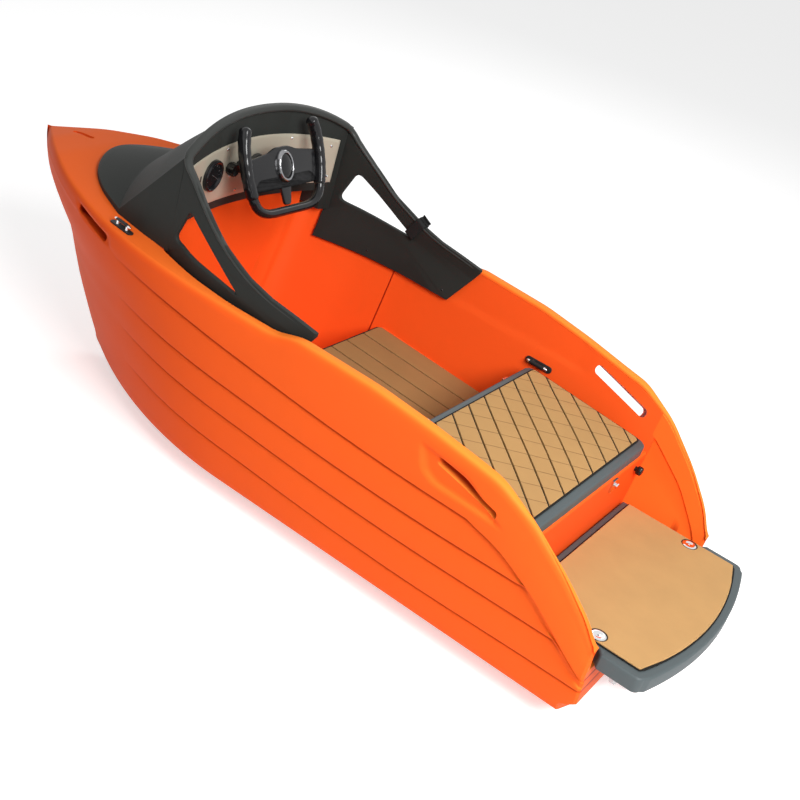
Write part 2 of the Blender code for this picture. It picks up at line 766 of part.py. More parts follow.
def window_cutter(name):
    """The triangular window with round corners, through both arms."""
    outline = []
    for i, corner in enumerate(WINDOW):
        here = Vector(corner)
        before = (Vector(WINDOW[i - 1]) - here).normalized()
        after = (Vector(WINDOW[(i + 1) % 3]) - here).normalized()
        bisector = (before + after).normalized()
        half_angle = before.angle(after) / 2
        centre = here + bisector * (WINDOW_RADIUS / math.sin(half_angle))
        start = (here + before * (WINDOW_RADIUS / math.tan(half_angle))) - centre
        end = (here + after * (WINDOW_RADIUS / math.tan(half_angle))) - centre
        for step in range(5):
            blend = start.lerp(end, step / 4).normalized() * WINDOW_RADIUS
            outline.append(tuple(centre + blend))
    stand = Matrix.Rotation(math.radians(90.0), 4, "X")
    return slab(name, outline, -0.6, 0.6, None, stand)


def build_band():
    """The strap loop round the starboard arm below its window."""
    x, z = BAND_PLACE
    y = -(arm_y(x, z) - COWL_PLATE / 2)
    turn = Matrix.Translation((x, y, z)) @ Matrix.Rotation(BAND_TURN, 4, "Y")
    outer = BAND_HALF
    band = box("arm_band", [-v for v in outer], outer, "matte_black", turn)
    inner = (2 * outer[0], outer[1] - BAND_CORD, outer[2] - BAND_CORD)
    cut(band, box("band_cutter", [-v for v in inner], inner, None, turn))
    return band


def dash_x(y):
    """Rear face of the cowl's dashboard at a distance from the middle."""
    centre_x, edge_x = COWL_SECTIONS[-1][:2]
    share = min(abs(y) / cowl_edge(-1), 1.0)
    table = [centre_x + (edge_x - centre_x) * row ** 2 for row in COWL_ROWS]
    return float(np.interp(share, COWL_ROWS, table))


def build_dash():
    """The curved metal dash panel and the round instruments on it."""
    edge = cowl_edge(-1)
    half = edge - DASH_MARGIN
    stations = [row * edge for row in COWL_ROWS if row * edge < half] + [half]
    stations = [-y for y in stations[:0:-1]] + stations
    rings = []
    for y in stations:
        x = dash_x(y) - 2 * GAP
        drop = DASH_DROP * (y / half) ** 2
        low, high = DASH_Z[0], DASH_Z[1] - drop
        rings.append([(x, y, low), (x - DASH_SHEET, y, low), (x - DASH_SHEET, y, high),
                      (x, y, high)])
    loft("dash_panel", rings, "panel_steel", closed=True)
    for item in DASH_INSTRUMENTS:
        y, z = item["y"], item["z"]
        near, far = dash_x(y + item["radius"]), dash_x(y - item["radius"])
        x = (near + far) / 2 - DASH_SHEET - 3 * GAP
        angle = math.atan2(far - near, 2 * item["radius"])
        turn = Matrix.Translation((x, y, z)) @ Matrix.Rotation(angle, 4, "Z")
        turn = turn @ Matrix.Rotation(math.radians(-90.0), 4, "Y")
        radius, depth = item["radius"], item["depth"]
        profile = [(0.0, depth), (radius * 0.90, depth), (radius, depth - 0.003), (radius, 0.0),
                   (0.0, 0.0)]
        turned(item["name"], profile, "gloss_black", turn, 24)


def wheel_frame():
    """Frame of the wheel: X to starboard, Y up in its plane, Z along the axis to the driver."""
    axis = Vector((-math.cos(WHEEL_RAKE), 0.0, math.sin(WHEEL_RAKE)))
    lateral = Vector((0.0, -1.0, 0.0))
    up = axis.cross(lateral)
    place = Matrix((lateral, up, axis)).transposed().to_4x4()
    return Matrix.Translation(WHEEL_CENTRE) @ place


def build_steering():
    """The column, the spokes, the hub with its ring, the lower rim and the two grips."""
    frame = wheel_frame()
    axis = frame.to_3x3() @ Vector((0, 0, 1))
    centre = Vector(WHEEL_CENTRE)
    face = dash_x(FLANGE_RADIUS) - DASH_SHEET - 4 * GAP
    start = centre - axis * (SPOKE_THICKNESS + SHAFT_GAP)
    reach = (face - 0.010 - start.x) / -axis.x
    foot = start - axis * reach
    column = cylinder("steering_column", FLANGE_RADIUS, (face - 0.012, 0, foot.z), (face, 0, foot.z),
                      "matte_black", 28)
    tube_cutter = cylinder("column_tube", COLUMN_RADIUS, foot, start, None, 24)
    cut(column, tube_cutter, "UNION")
    tip = WHEEL_HALF_WIDTH - GRIP_RADIUS - 3 * GAP
    foot_y = WHEEL_BOTTOM + RIM_RADIUS + GAP
    spokes = [(tip, 0.030), (0.060, 0.040), (0.025, 0.052), (-0.025, 0.052), (-0.060, 0.040),
              (-tip, 0.030), (-tip, -0.006), (-0.060, -0.022), (-0.022, -0.045),
              (-0.013, foot_y), (0.013, foot_y), (0.022, -0.045), (0.060, -0.022),
              (tip, -0.006)]
    slab("wheel_spokes", spokes, -SPOKE_THICKNESS, 0.0, "gloss_black", frame)
    hub = [(0.0, 0.012), (0.022, 0.012), (0.024, 0.009), (0.024, GAP), (0.0, GAP)]
    turned("wheel_hub", hub, "gloss_black", frame, 24)
    ring = [(0.0245, 0.013), (0.030, 0.011), (0.032, 0.006), (0.032, GAP), (0.0245, GAP)]
    turned("wheel_ring", ring, "chrome", frame, 28)
    half = WHEEL_HALF_WIDTH
    low = WHEEL_BOTTOM
    path = [(half - 0.0120, low + 0.052), (half - 0.0168, low + 0.0332),
            (half - 0.030, low + 0.015), (half - 0.054, low + 0.004), (half - 0.080, low), (0.0, low)]
    path = path + [(-x, y) for x, y in path[-2::-1]]
    tube("wheel_rim", [(x, y, 0.0) for x, y in path], RIM_RADIUS, "gloss_black", frame,
         resolution=3)
    for side, word in ((-1, "port"), (1, "starboard")):
        grip = [(half - 0.020, WHEEL_TOP), (half - 0.006, 0.085), (half, 0.045), (half, 0.0),
                (half - 0.004, -0.035), (half - 0.0118, low + 0.0525)]
        points = [(side * x, y, 0.0) for x, y in grip]
        tube(f"wheel_grip_{word}", points, GRIP_RADIUS, "gloss_black", frame, resolution=3)


def seat_frame():
    """Frame on the seat deck under the middle of the lid, X forward along its slope."""
    middle = (SEAT_REAR_X + SEAT_FRONT_X) / 2
    angle = math.atan2(SEAT_DECK_Z[1] - SEAT_DECK_Z[0], SEAT_FRONT_X - SEAT_REAR_X)
    place = Matrix.Translation((middle, 0.0, seat_deck_z(middle)))
    return place @ Matrix.Rotation(-angle, 4, "Y")


def build_seat():
    """The seat lid with its foam, its two hinges and its latch."""
    frame = seat_frame()
    length = LID_LENGTH
    width = 2 * (well_half(SEAT_REAR_X, SEAT_DECK_Z[0]) - LID_SIDE_GAP)
    lid = slab("seat_lid", rounded(width, length, 0.028, 5), GAP, LID_THICKNESS, "slab_grey", frame)
    bevel(lid, 0.004)
    pad = rounded(width - 2 * LID_MARGIN, length - 2 * LID_MARGIN, 0.016, 4)
    slab("seat_foam", pad, LID_THICKNESS + GAP, LID_THICKNESS + FOAM, "foam_tan", frame)
    pivot = frame @ Vector((length / 2 + 0.008, 0.0, 0.004))
    for side, word in ((1, "port"), (-1, "starboard")):
        y = side * 0.20
        fixed = cylinder(f"seat_hinge_fixed_{word}", 0.005, (pivot.x, y + 0.012, pivot.z),
                         (pivot.x, y + 0.032, pivot.z), "chrome", 16)
        second = cylinder(f"hinge_knuckle_{word}", 0.005, (pivot.x, y - 0.032, pivot.z),
                          (pivot.x, y - 0.012, pivot.z), None, 16)
        leaf = box(f"hinge_leaf_{word}", (SEAT_FRONT_X + GAP, y - 0.032, pivot.z - 0.045),
                   (SEAT_FRONT_X + 0.0025, y + 0.032, pivot.z - 0.008))
        web = box(f"hinge_web_{word}", (SEAT_FRONT_X + GAP, y - 0.032, pivot.z - 0.012),
                  (pivot.x + 0.002, y + 0.032, pivot.z - 0.0062))
        cut(leaf, web, "UNION")
        for joined in (leaf, second):
            cut(fixed, joined, "UNION")
        arm_low = box(f"hinge_neck_{word}", (pivot.x - 0.002, y + 0.014, pivot.z - 0.009),
                      (pivot.x + 0.002, y + 0.030, pivot.z))
        arm_high = box(f"hinge_neck_two_{word}", (pivot.x - 0.002, y - 0.030, pivot.z - 0.009),
                       (pivot.x + 0.002, y - 0.014, pivot.z))
        for joined in (arm_low, arm_high):
            cut(fixed, joined, "UNION")
        moving = cylinder(f"seat_hinge_moving_{word}", 0.005, (pivot.x, y - 0.0115, pivot.z),
                          (pivot.x, y + 0.0115, pivot.z), "chrome", 16)
        plate = box(f"hinge_plate_{word}", (length / 2 + 0.0003, y - 0.0115, 0.006),
                    (length / 2 + 0.0048, y + 0.0115, 0.034), None, frame)
        neck = box(f"hinge_bridge_{word}", (length / 2 + 0.0003, y - 0.0115, 0.004),
                   (length / 2 + 0.008, y + 0.0115, 0.0085), None, frame)
        for joined in (plate, neck):
            cut(moving, joined, "UNION")
    latch_y = -0.150
    latch = box("seat_latch", (SEAT_REAR_X - 0.006, latch_y - 0.014, 0.425),
                (SEAT_REAR_X - GAP, latch_y + 0.014, 0.462), "chrome")
    hook = cylinder("latch_hook", 0.004, (SEAT_REAR_X - 0.0115, latch_y - 0.009, 0.447),
                    (SEAT_REAR_X - 0.0115, latch_y + 0.009, 0.447), None, 16)
    bridge = box("latch_bridge", (SEAT_REAR_X - 0.0115, latch_y - 0.007, 0.4445),
                 (SEAT_REAR_X - 0.004, latch_y + 0.007, 0.4495))
    for joined in (bridge, hook):
        cut(latch, joined, "UNION")
    knob_z = DRAIN_KNOB["z"]
    knob_y = well_half(SEAT_REAR_X, knob_z) - DRAIN_KNOB["inset"]
    turn = Matrix.Translation((SEAT_REAR_X - GAP, -knob_y, knob_z))
    turn = turn @ Matrix.Rotation(math.radians(-90.0), 4, "Y")
    turned("drain_knob", [(0.0, 0.022), (0.010, 0.022), (0.013, 0.018), (0.013, 0.008),
                          (0.008, 0.006), (0.008, 0.0), (0.0, 0.0)], "gloss_black", turn, 20)


def build_step():
    """The board on the step deck and its foam."""
    angle = math.atan2(STEP_Z[1] - STEP_Z[0], STEP_FRONT_X - SEAT_FRONT_X)
    length = (STEP_FRONT_X - SEAT_FRONT_X) / math.cos(angle) - 0.012
    middle = (STEP_FRONT_X + SEAT_FRONT_X) / 2 + 0.003
    frame = Matrix.Translation((middle, 0.0, step_z(middle))) @ Matrix.Rotation(-angle, 4, "Y")
    width = 2 * (well_half(SEAT_FRONT_X, STEP_Z[0]) - STEP_SIDE_GAP)
    slab("step_board", rounded(width, length, 0.020, 4), GAP, STEP_BOARD, "matte_black", frame)
    slab("step_foam", rounded(width - 0.014, length - 0.014, 0.015, 4), STEP_BOARD + GAP,
         STEP_BOARD + FOAM, "foam_tan", frame)


def platform_halves():
    """Half widths of the swim platform between the fins and behind them."""
    narrow = well_half(SEAT_REAR_X, STERN_DECK_Z) - PLATFORM_SIDE_GAP
    return narrow, narrow + PLATFORM_FLARE


def platform_outline(inset, halves, radius):
    """Outline of the swim platform or its foam, its rear edge an arc.

    The inset draws in its fore and rear edges; the halves are its half widths, fore and aft.
    """
    fore, aft = SEAT_REAR_X - PLATFORM_SEAT_GAP, PLATFORM_AFT_X
    narrow, wide = halves
    edge = []
    edge.append((fore - inset, narrow))
    edge.append((TRANSOM_X + 0.010, narrow))
    edge.append((TRANSOM_X - 0.012, wide))
    for step in range(5):
        angle = math.radians(90.0 + 18.0 * step)
        edge.append((aft + inset + radius + radius * math.cos(angle),
                     wide - radius + radius * math.sin(angle)))
    for step in range(1, 6):
        y = (wide - radius) * (1.0 - step / 6) * 0.96
        bow = 1.0 - (y / wide) ** 2
        edge.append((aft + inset + (PLATFORM_ARC_X - aft) * bow, y))
    mirrored = [(x, -y) for x, y in edge[::-1]]
    return edge + [(PLATFORM_ARC_X + inset, 0.0)] + mirrored


def build_platform():
    """The swim platform, its foam and two deck eyes that stand in holes through the foam."""
    low = STERN_DECK_Z + GAP
    top = low + PLATFORM_THICKNESS
    outline = platform_outline(0.0, platform_halves(), PLATFORM_CORNERS["platform"])
    platform = slab("swim_platform", outline, low, top, "slab_grey")
    bevel(platform, 0.004)
    foam_half = platform_halves()[0] - PLATFORM_FOAM_GAP
    outline = platform_outline(PLATFORM_MARGIN, (foam_half, foam_half), PLATFORM_CORNERS["foam"])
    foam = slab("platform_foam", outline, top + GAP, top + FOAM, "foam_tan")
    for side, word in ((1, "port"), (-1, "starboard")):
        y = side * (foam_half - EYE_INSET)
        hole = cylinder(f"eye_hole_{word}", EYE_RADIUS + 2 * GAP, (EYE_X, y, top - 0.01),
                        (EYE_X, y, top + FOAM + 0.01), None, 32)
        cut(foam, hole)
        place = Matrix.Translation((EYE_X, y, top + GAP))
        profile = [(0.011, FOAM - 0.0018), (0.018, FOAM - 0.0010), (EYE_RADIUS, FOAM - 0.0036),
                   (EYE_RADIUS, 0.0), (0.011, 0.0)]
        turned(f"deck_eye_{word}", profile, "chrome", place, 24)
    return foam


def build_cleats():
    """Two bow cleats on the gunwale and two inner cleats beside the seat."""
    for side, word in ((1, "port"), (-1, "starboard")):
        x = BOW_CLEAT["x"]
        y = side * (hull_half(x, DECK_Z) - BOW_CLEAT["inset"])
        turn = Matrix.Translation((x, y, DECK_Z + GAP))
        turn = turn @ Matrix.Rotation(side * BOW_CLEAT["turn"], 4, "Z")
        cleat(f"bow_cleat_{word}", turn)
        x, z = SEAT_CLEAT["x"], SEAT_CLEAT["z"]
        lean = math.atan2(well_half(x, z + 0.02) - well_half(x, z - 0.02), 0.04)
        taper = math.atan2(well_half(x + 0.04, z) - well_half(x - 0.04, z), 0.08)
        turn = Matrix.Translation((x, side * (well_half(x, z) - 3 * GAP), z))
        turn = turn @ Matrix.Rotation(side * taper, 4, "Z")
        turn = turn @ Matrix.Rotation(side * (math.radians(90.0) - lean), 4, "X")
        cleat(f"seat_cleat_{word}", turn)


def cleat(name, place):
    """A folding cleat: a base plate and a bar on two feet."""
    base = slab(name, rounded(0.020, 0.086, 0.009, 3), 0.0, 0.004, "chrome", place)
    for number, x in enumerate((-0.020, 0.020)):
        foot = box(f"{name}_foot_{number}", (x - 0.004, -0.004, 0.002), (x + 0.004, 0.004, 0.017),
                   None, place)
        cut(base, foot, "UNION")
    bar = box(f"{name}_bar", (-0.034, -0.005, 0.014), (0.034, 0.005, 0.020), None, place)
    cut(base, bar, "UNION")
    return base


def build_drive():
    """Battery, motor, shaft, impeller, pump housing, steering nozzle and intake grille."""
    low = MACHINERY_Z + GAP
    aft, fore = BATTERY["x"]
    half = BATTERY["half"]
    battery = box("battery", (aft, -half, low), (fore, half, low + BATTERY["height"]),
                  "battery_case")
    bevel(battery, 0.008, 1)
    cylinder("drive_motor", MOTOR["radius"], (MOTOR["x"][0], 0, JET_Z), (MOTOR["x"][1], 0, JET_Z),
             "cast_alloy", 32)
    cylinder("drive_shaft", SHAFT_RADIUS, (MOTOR["x"][0] - GAP, 0, JET_Z),
             (IMPELLER_X[1] + GAP, 0, JET_Z), "chrome", 20)
    build_impeller()
    build_pump()
    build_nozzle()
    build_grille()


def along_x(x):
    """Frame at a position on the jet's axis, local Z to the bow."""
    return Matrix.Translation((x, 0.0, JET_Z)) @ Matrix.Rotation(math.radians(90.0), 4, "Y")


def build_impeller():
    """The impeller: a hub and four pitched blades."""
    aft, fore = IMPELLER_X
    length = fore - aft
    frame = along_x(aft)
    profile = [(0.0, length), (0.014, length), (0.018, length * 0.5), (0.018, 0.0), (0.0, 0.0)]
    impeller = turned("impeller", profile, "cast_alloy", frame, 24)
    for number in range(4):
        turn = frame @ Matrix.Rotation(math.radians(90.0 * number), 4, "Z")
        turn = turn @ Matrix.Translation((0.0, 0.0, length / 2))
        turn = turn @ Matrix.Rotation(math.radians(38.0), 4, "X")
        blade = box(f"impeller_blade_{number}", (0.012, -0.0018, -0.020), (0.0505, 0.0018, 0.020),
                    None, turn)
        cut(impeller, blade, "UNION")
    return impeller


def build_pump():
    """The pump housing with its flange and stator, and the outlet cone behind it."""
    outer = PUMP_BORE + PUMP_WALL
    flange = PUMP_FRONT_X - TRANSOM_X + 0.001
    seat = flange + FLANGE
    frame = Matrix.Translation((PUMP_FRONT_X, 0.0, JET_Z)) @ Matrix.Rotation(math.radians(-90.0), 4, "Y")
    profile = [(PUMP_BORE, seat), (outer + FLANGE_LIP, seat), (outer + FLANGE_LIP, flange),
               (outer, flange), (outer, 0.0), (PUMP_BORE, 0.0)]
    housing = turned("pump_housing", profile, "cast_alloy", frame, 28)
    for number in range(3):
        turn = frame @ Matrix.Rotation(math.radians(30.0 + 120.0 * number), 4, "Z")
        vane = box(f"stator_vane_{number}", (0.010, -0.002, 0.078), (PUMP_BORE + 0.004, 0.002, 0.125),
                   None, turn)
        cut(housing, vane, "UNION")
    hub = cylinder("stator_hub", 0.018, frame @ Vector((0, 0, 0.074)), frame @ Vector((0, 0, 0.150)),
                   None, 16, end_radius=0.006)
    cut(housing, hub, "UNION")
    length = PUMP_FRONT_X - OUTLET_X
    start = seat + GAP
    inner = OUTLET_RADIUS - 0.006
    profile = [(inner, length), (OUTLET_RADIUS, length), (OUTLET_RADIUS, start + 0.022),
               (outer, start + FLANGE), (outer + FLANGE_LIP, start + FLANGE),
               (outer + FLANGE_LIP, start), (PUMP_BORE, start), (inner, start + 0.024)]
    cone = turned("outlet_cone", profile, "cast_alloy", frame, 28)
    for side in (1, -1):
        boss = cylinder(f"nozzle_boss_{side}", 0.011,
                        (NOZZLE_PIVOT_X, 0, JET_Z + side * (OUTLET_RADIUS - 0.003)),
                        (NOZZLE_PIVOT_X, 0, JET_Z + side * 0.056), None, 16)
        cut(cone, boss, "UNION")
        hole = cylinder(f"nozzle_boss_hole_{side}", 0.0053,
                        (NOZZLE_PIVOT_X, 0, JET_Z + side * 0.0465),
                        (NOZZLE_PIVOT_X, 0, JET_Z + side * 0.070), None, 16)
        cut(cone, hole)
    return housing


def build_nozzle():
    """The steering nozzle with its two lugs, and the two pins that hold it."""
    fore, aft = NOZZLE_X
    length = fore - aft
    frame = Matrix.Translation((fore, 0.0, JET_Z)) @ Matrix.Rotation(math.radians(-90.0), 4, "Y")
    profile = [(0.034, length), (0.040, length), (0.054, 0.010), (0.054, 0.0), (0.048, 0.0)]
    nozzle = turned("steering_nozzle", profile, "cast_alloy", frame, 32)
    for side in (1, -1):
        near, far = sorted((side * 0.0565, side * 0.0625))
        lug = box(f"nozzle_lug_{side}", (fore - 0.014, -0.012, JET_Z + near),
                  (NOZZLE_PIVOT_X + 0.012, 0.012, JET_Z + far))
        cut(nozzle, lug, "UNION")
        near, far = sorted((side * 0.047, side * 0.0600))
        rib = box(f"nozzle_rib_{side}", (fore - 0.014, -0.012, JET_Z + near),
                  (fore - 0.001, 0.012, JET_Z + far))
        cut(nozzle, rib, "UNION")
        hole = cylinder(f"nozzle_hole_{side}", 0.0056, (NOZZLE_PIVOT_X, 0, JET_Z + side * 0.050),
                        (NOZZLE_PIVOT_X, 0, JET_Z + side * 0.070), None, 20)
        cut(nozzle, hole)
        word = "top" if side > 0 else "bottom"
        cylinder(f"nozzle_pin_{word}", 0.0050, (NOZZLE_PIVOT_X, 0, JET_Z + side * 0.0470),
                 (NOZZLE_PIVOT_X, 0, JET_Z + side * 0.0645), "chrome", 20)


def build_grille():
    """The intake grille, flush in the keel pad."""
    aft, fore = INTAKE_X
    grille = box("intake_grille", (aft + GAP, -INTAKE_HALF, 0.0015),
                 (fore - GAP, INTAKE_HALF, 0.0075), "cast_alloy")
    for number in range(5):
        y = (number - 2) * 0.019
        slot = box(f"grille_slot_{number}", (aft + 0.012, y - 0.006, -0.01),
                   (fore - 0.012, y + 0.006, 0.02))
        cut(grille, slot)
    return grille


def build_boat():
    """Builds the whole boat."""
    clear_scene()
    build_hull()
    build_liner()
    build_cowl()
    build_band()
    build_dash()
    build_steering()
    build_seat()
    build_step()
    build_platform()
    build_cleats()
    build_drive()
    for made in PARTS.objects:
        if made.type == "MESH":
            smooth(made)


build_boat()
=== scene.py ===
"""Looks of a small electric jet boat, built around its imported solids.

Metres. +X points to the bow, +Y to port, +Z up, with the floor at height zero.
"""

import json
import logging
import math
from collections.abc import Callable, Iterable
from dataclasses import dataclass, field, replace
from enum import Enum

import bmesh
import bpy
import numpy as np
from mathutils import Matrix, Vector
from mathutils.geometry import tessellate_polygon

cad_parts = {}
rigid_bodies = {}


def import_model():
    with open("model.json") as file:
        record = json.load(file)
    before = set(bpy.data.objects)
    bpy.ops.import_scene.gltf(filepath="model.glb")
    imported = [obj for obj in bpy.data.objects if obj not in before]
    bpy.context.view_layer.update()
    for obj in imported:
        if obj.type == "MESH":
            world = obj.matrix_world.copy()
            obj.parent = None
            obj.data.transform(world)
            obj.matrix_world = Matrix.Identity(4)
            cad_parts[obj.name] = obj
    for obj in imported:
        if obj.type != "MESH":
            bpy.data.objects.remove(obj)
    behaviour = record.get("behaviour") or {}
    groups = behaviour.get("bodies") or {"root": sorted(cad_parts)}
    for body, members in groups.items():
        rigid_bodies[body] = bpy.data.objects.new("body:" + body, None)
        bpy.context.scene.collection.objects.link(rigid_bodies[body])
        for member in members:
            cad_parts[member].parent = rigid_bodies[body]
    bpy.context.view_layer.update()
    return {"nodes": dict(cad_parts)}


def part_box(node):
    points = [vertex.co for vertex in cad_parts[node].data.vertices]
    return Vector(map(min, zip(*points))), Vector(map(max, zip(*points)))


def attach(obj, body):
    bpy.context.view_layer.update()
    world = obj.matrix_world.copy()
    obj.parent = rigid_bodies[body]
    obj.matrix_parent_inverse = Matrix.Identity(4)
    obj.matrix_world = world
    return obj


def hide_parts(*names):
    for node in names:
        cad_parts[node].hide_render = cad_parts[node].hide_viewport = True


for startup_object in list(bpy.data.objects):
    bpy.data.objects.remove(startup_object)

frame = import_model()

log = logging.getLogger("jet_boat")

Array = np.ndarray
Outline = list[tuple[float, float]]

MERGE_DISTANCE = 0.000005
SIDES = ((1, "port"), (-1, "starboard"))
WHITE = (1.0, 1.0, 1.0, 1.0)


class Body(Enum):
    """The bodies that pieces ride on."""

    BOAT = "boat"
    WHEEL = "steering_wheel"
    NOZZLE = "nozzle"
    DRIVE = "drive"
    SEAT = "seat"


# Surfaces


def share_of(value: Array, start: Array | float = 0.0, stop: Array | float = 1.0) -> Array:
    """How far a value has come from a start to a stop, held between zero and one."""
    return np.clip((value - start) / (stop - start), 0.0, 1.0)


def ease(share: Array) -> Array:
    """A share that leaves zero and reaches one softly."""
    return share * share * (3.0 - 2.0 * share)


@dataclass
class Shell:
    """Points and faces of one or more surfaces."""

    points: Array
    faces: list[tuple[int, ...]]

    def __add__(self, other: "Shell") -> "Shell":
        """Both surfaces as one."""
        shift = len(self.points)
        faces = self.faces + [tuple(i + shift for i in face) for face in other.faces]
        return Shell(np.vstack([self.points, other.points]), faces)

    def moved(self, place: Matrix) -> "Shell":
        """The surface turned and moved by a matrix."""
        turn = np.array(place.to_3x3())
        return Shell(self.points @ turn.T + np.array(place.translation), self.faces)

    def mirrored(self) -> "Shell":
        """The surface mirrored to the other side of the boat, still facing out."""
        return Shell(self.points * (1.0, -1.0, 1.0), [face[::-1] for face in self.faces])


def grid_faces(rows: int, columns: int, around: bool = False, ring: bool = False) -> list:
    """Quads of a grid of points stored row by row.

    Args:
        rows: Number of rows.
        columns: Number of points in a row.
        around: Whether each row closes on itself.
        ring: Whether the last row joins the first.

    Returns:
        Faces as tuples of point numbers.
    """
    row = np.arange(rows if ring else rows - 1)[:, None]
    column = np.arange(columns if around else columns - 1)[None, :]
    here = row * columns + column
    side = row * columns + (column + 1) % columns
    next_row = ((row + 1) % rows) * columns
    quads = np.stack([here, side, next_row + (column + 1) % columns, next_row + column], axis=-1)
    return [tuple(quad) for quad in quads.reshape(-1, 4).tolist()]


def sheet(grid: Array) -> Shell:
    """A surface through a grid of points of shape (rows, columns, 3)."""
    rows, columns = grid.shape[:2]
    return Shell(grid.reshape(-1, 3), grid_faces(rows, columns))


def loft(rings: Array, caps: bool = True, ring: bool = False) -> Shell:
    """A closed skin over rings of points.

    Args:
        rings: Array of shape (rings, points, 3), each ring closed.
        caps: Whether the first and last rings are filled.
        ring: Whether the last ring joins the first.

    Returns:
        The skin.
    """
    rows, columns = rings.shape[:2]
    faces = grid_faces(rows, columns, around=True, ring=ring)
    if caps and not ring:
        faces.append(tuple(range(columns)))
        faces.append(tuple(range(rows * columns - 1, (rows - 1) * columns - 1, -1)))
    return Shell(rings.reshape(-1, 3), faces)


def between(top: Array, bottom: Array) -> Shell:
    """A closed body between two grids of equal shape, joined round their edges."""
    rows, columns = top.shape[:2]
    count = rows * columns
    faces = grid_faces(rows, columns)
    lower = [tuple(i + count for i in face[::-1]) for face in faces]
    index = np.arange(count).reshape(rows, columns)
    rim = np.concatenate([index[0, :-1], index[:-1, -1], index[-1, :0:-1], index[:0:-1, 0]])
    after = np.roll(rim, -1)
    walls = np.stack([after, rim, rim + count, after + count], axis=-1)
    faces = faces + lower + [tuple(wall) for wall in walls.tolist()]
    return Shell(np.vstack([top.reshape(-1, 3), bottom.reshape(-1, 3)]), faces)


def sweep(path: Array, section: Array, scale: Array | float = 1.0, up: tuple = (0.0, 0.0, 1.0),
          ring: bool = False) -> Shell:
    """A section carried along a path.

    At each point the section's first axis is the cross product of the path's direction and the
    up vector, and its second axis completes the frame.

    Args:
        path: Points of shape (n, 3).
        section: Closed outline of shape (k, 2).
        scale: One size for all points, or one for each.
        up: Direction that the section's second axis leans to.
        ring: Whether the path closes on itself.

    Returns:
        The swept skin, capped unless it is a ring.
    """
    if ring:
        ahead = np.roll(path, -1, axis=0) - np.roll(path, 1, axis=0)
    else:
        ahead = np.gradient(path, axis=0)
    ahead /= np.linalg.norm(ahead, axis=1, keepdims=True)
    side = np.cross(ahead, np.array(up))
    side /= np.linalg.norm(side, axis=1, keepdims=True)
    lift = np.cross(side, ahead)
    size = np.broadcast_to(np.asarray(scale, dtype=float), (len(path),))[:, None, None]
    rings = (path[:, None, :] + size * section[None, :, 0, None] * side[:, None, :]
             + size * section[None, :, 1, None] * lift[:, None, :])
    return loft(rings, caps=not ring, ring=ring)


def turned(profile: Outline, place: Matrix, steps: int = 48, flutes: int = 0,
           flute: float = 0.0) -> Shell:
    """A closed outline of radius and height pairs turned about the local Z axis.

    Flutes draw the outer points in by a share that follows the cosine of their angle.
    """
    radius, height = np.array(profile).T
    angle = np.linspace(0.0, 2.0 * math.pi, steps, endpoint=False)[:, None]
    outer = radius > 0.8 * radius.max()
    radius = radius * (1.0 - outer * flute * (0.5 + 0.5 * np.cos(flutes * angle)))
    rings = np.stack([radius * np.cos(angle), radius * np.sin(angle),
                      np.broadcast_to(height, (steps, len(profile)))], axis=-1)
    return loft(rings, ring=True).moved(place)


def slab(outline: Outline | Array, low: float, high: float, place: Matrix | None = None) -> Shell:
    """A flat outline raised between two heights."""
    flat = np.array(outline)
    rings = np.stack([np.column_stack([flat, np.full(len(flat), z)]) for z in (low, high)])
    made = loft(rings)
    return made.moved(place) if place else made


def round_slab(outline: Array, low: float, high: float, edge: float,
               place: Matrix | None = None) -> Shell:
    """A flat outline raised between two heights, with both of its rims rounded over.

    At an angle a of the round the rim is drawn in by edge * (1 - cos a) and stands
    edge * (1 - sin a) from the face.
    """
    ahead = np.roll(outline, -1, axis=0) - np.roll(outline, 1, axis=0)
    out = np.column_stack([ahead[:, 1], -ahead[:, 0]])
    out /= np.linalg.norm(out, axis=1, keepdims=True)
    rings = []
    for sign in (-1.0, 1.0):
        for angle in np.radians(np.linspace(0.0, 90.0, 7))[::int(sign)]:
            flat = outline - out * edge * (1.0 - math.cos(angle))
            away = edge * (1.0 - math.sin(angle))
            z = low + away if sign < 0 else high - away
            rings.append(np.column_stack([flat, np.full(len(flat), z)]))
    made = loft(np.stack(rings))
    return made.moved(place) if place else made


def block(low: tuple, high: tuple, place: Matrix | None = None) -> Shell:
    """A box between two corners."""
    outline = [(low[0], low[1]), (high[0], low[1]), (high[0], high[1]), (low[0], high[1])]
    return slab(outline, low[2], high[2], place)


def rounded(length: float, width: float, radius: float, steps: int = 8) -> Outline:
    """Outline of a rectangle with round corners, its length along the first axis."""
    angle = np.linspace(0.0, math.pi / 2, steps)
    points = []
    for corner, (sx, sy) in enumerate(((1, 1), (-1, 1), (-1, -1), (1, -1))):
        turn = angle + corner * math.pi / 2
        points.append(np.column_stack([sx * (length / 2 - radius) + radius * np.cos(turn),
                                       sy * (width / 2 - radius) + radius * np.sin(turn)]))
    return [tuple(point) for point in np.vstack(points).tolist()]


def ellipse(half_a: float, half_b: float, count: int = 24) -> Array:
    """Outline of an ellipse."""
    angle = np.linspace(0.0, 2.0 * math.pi, count, endpoint=False)
    return np.column_stack([half_a * np.cos(angle), half_b * np.sin(angle)])


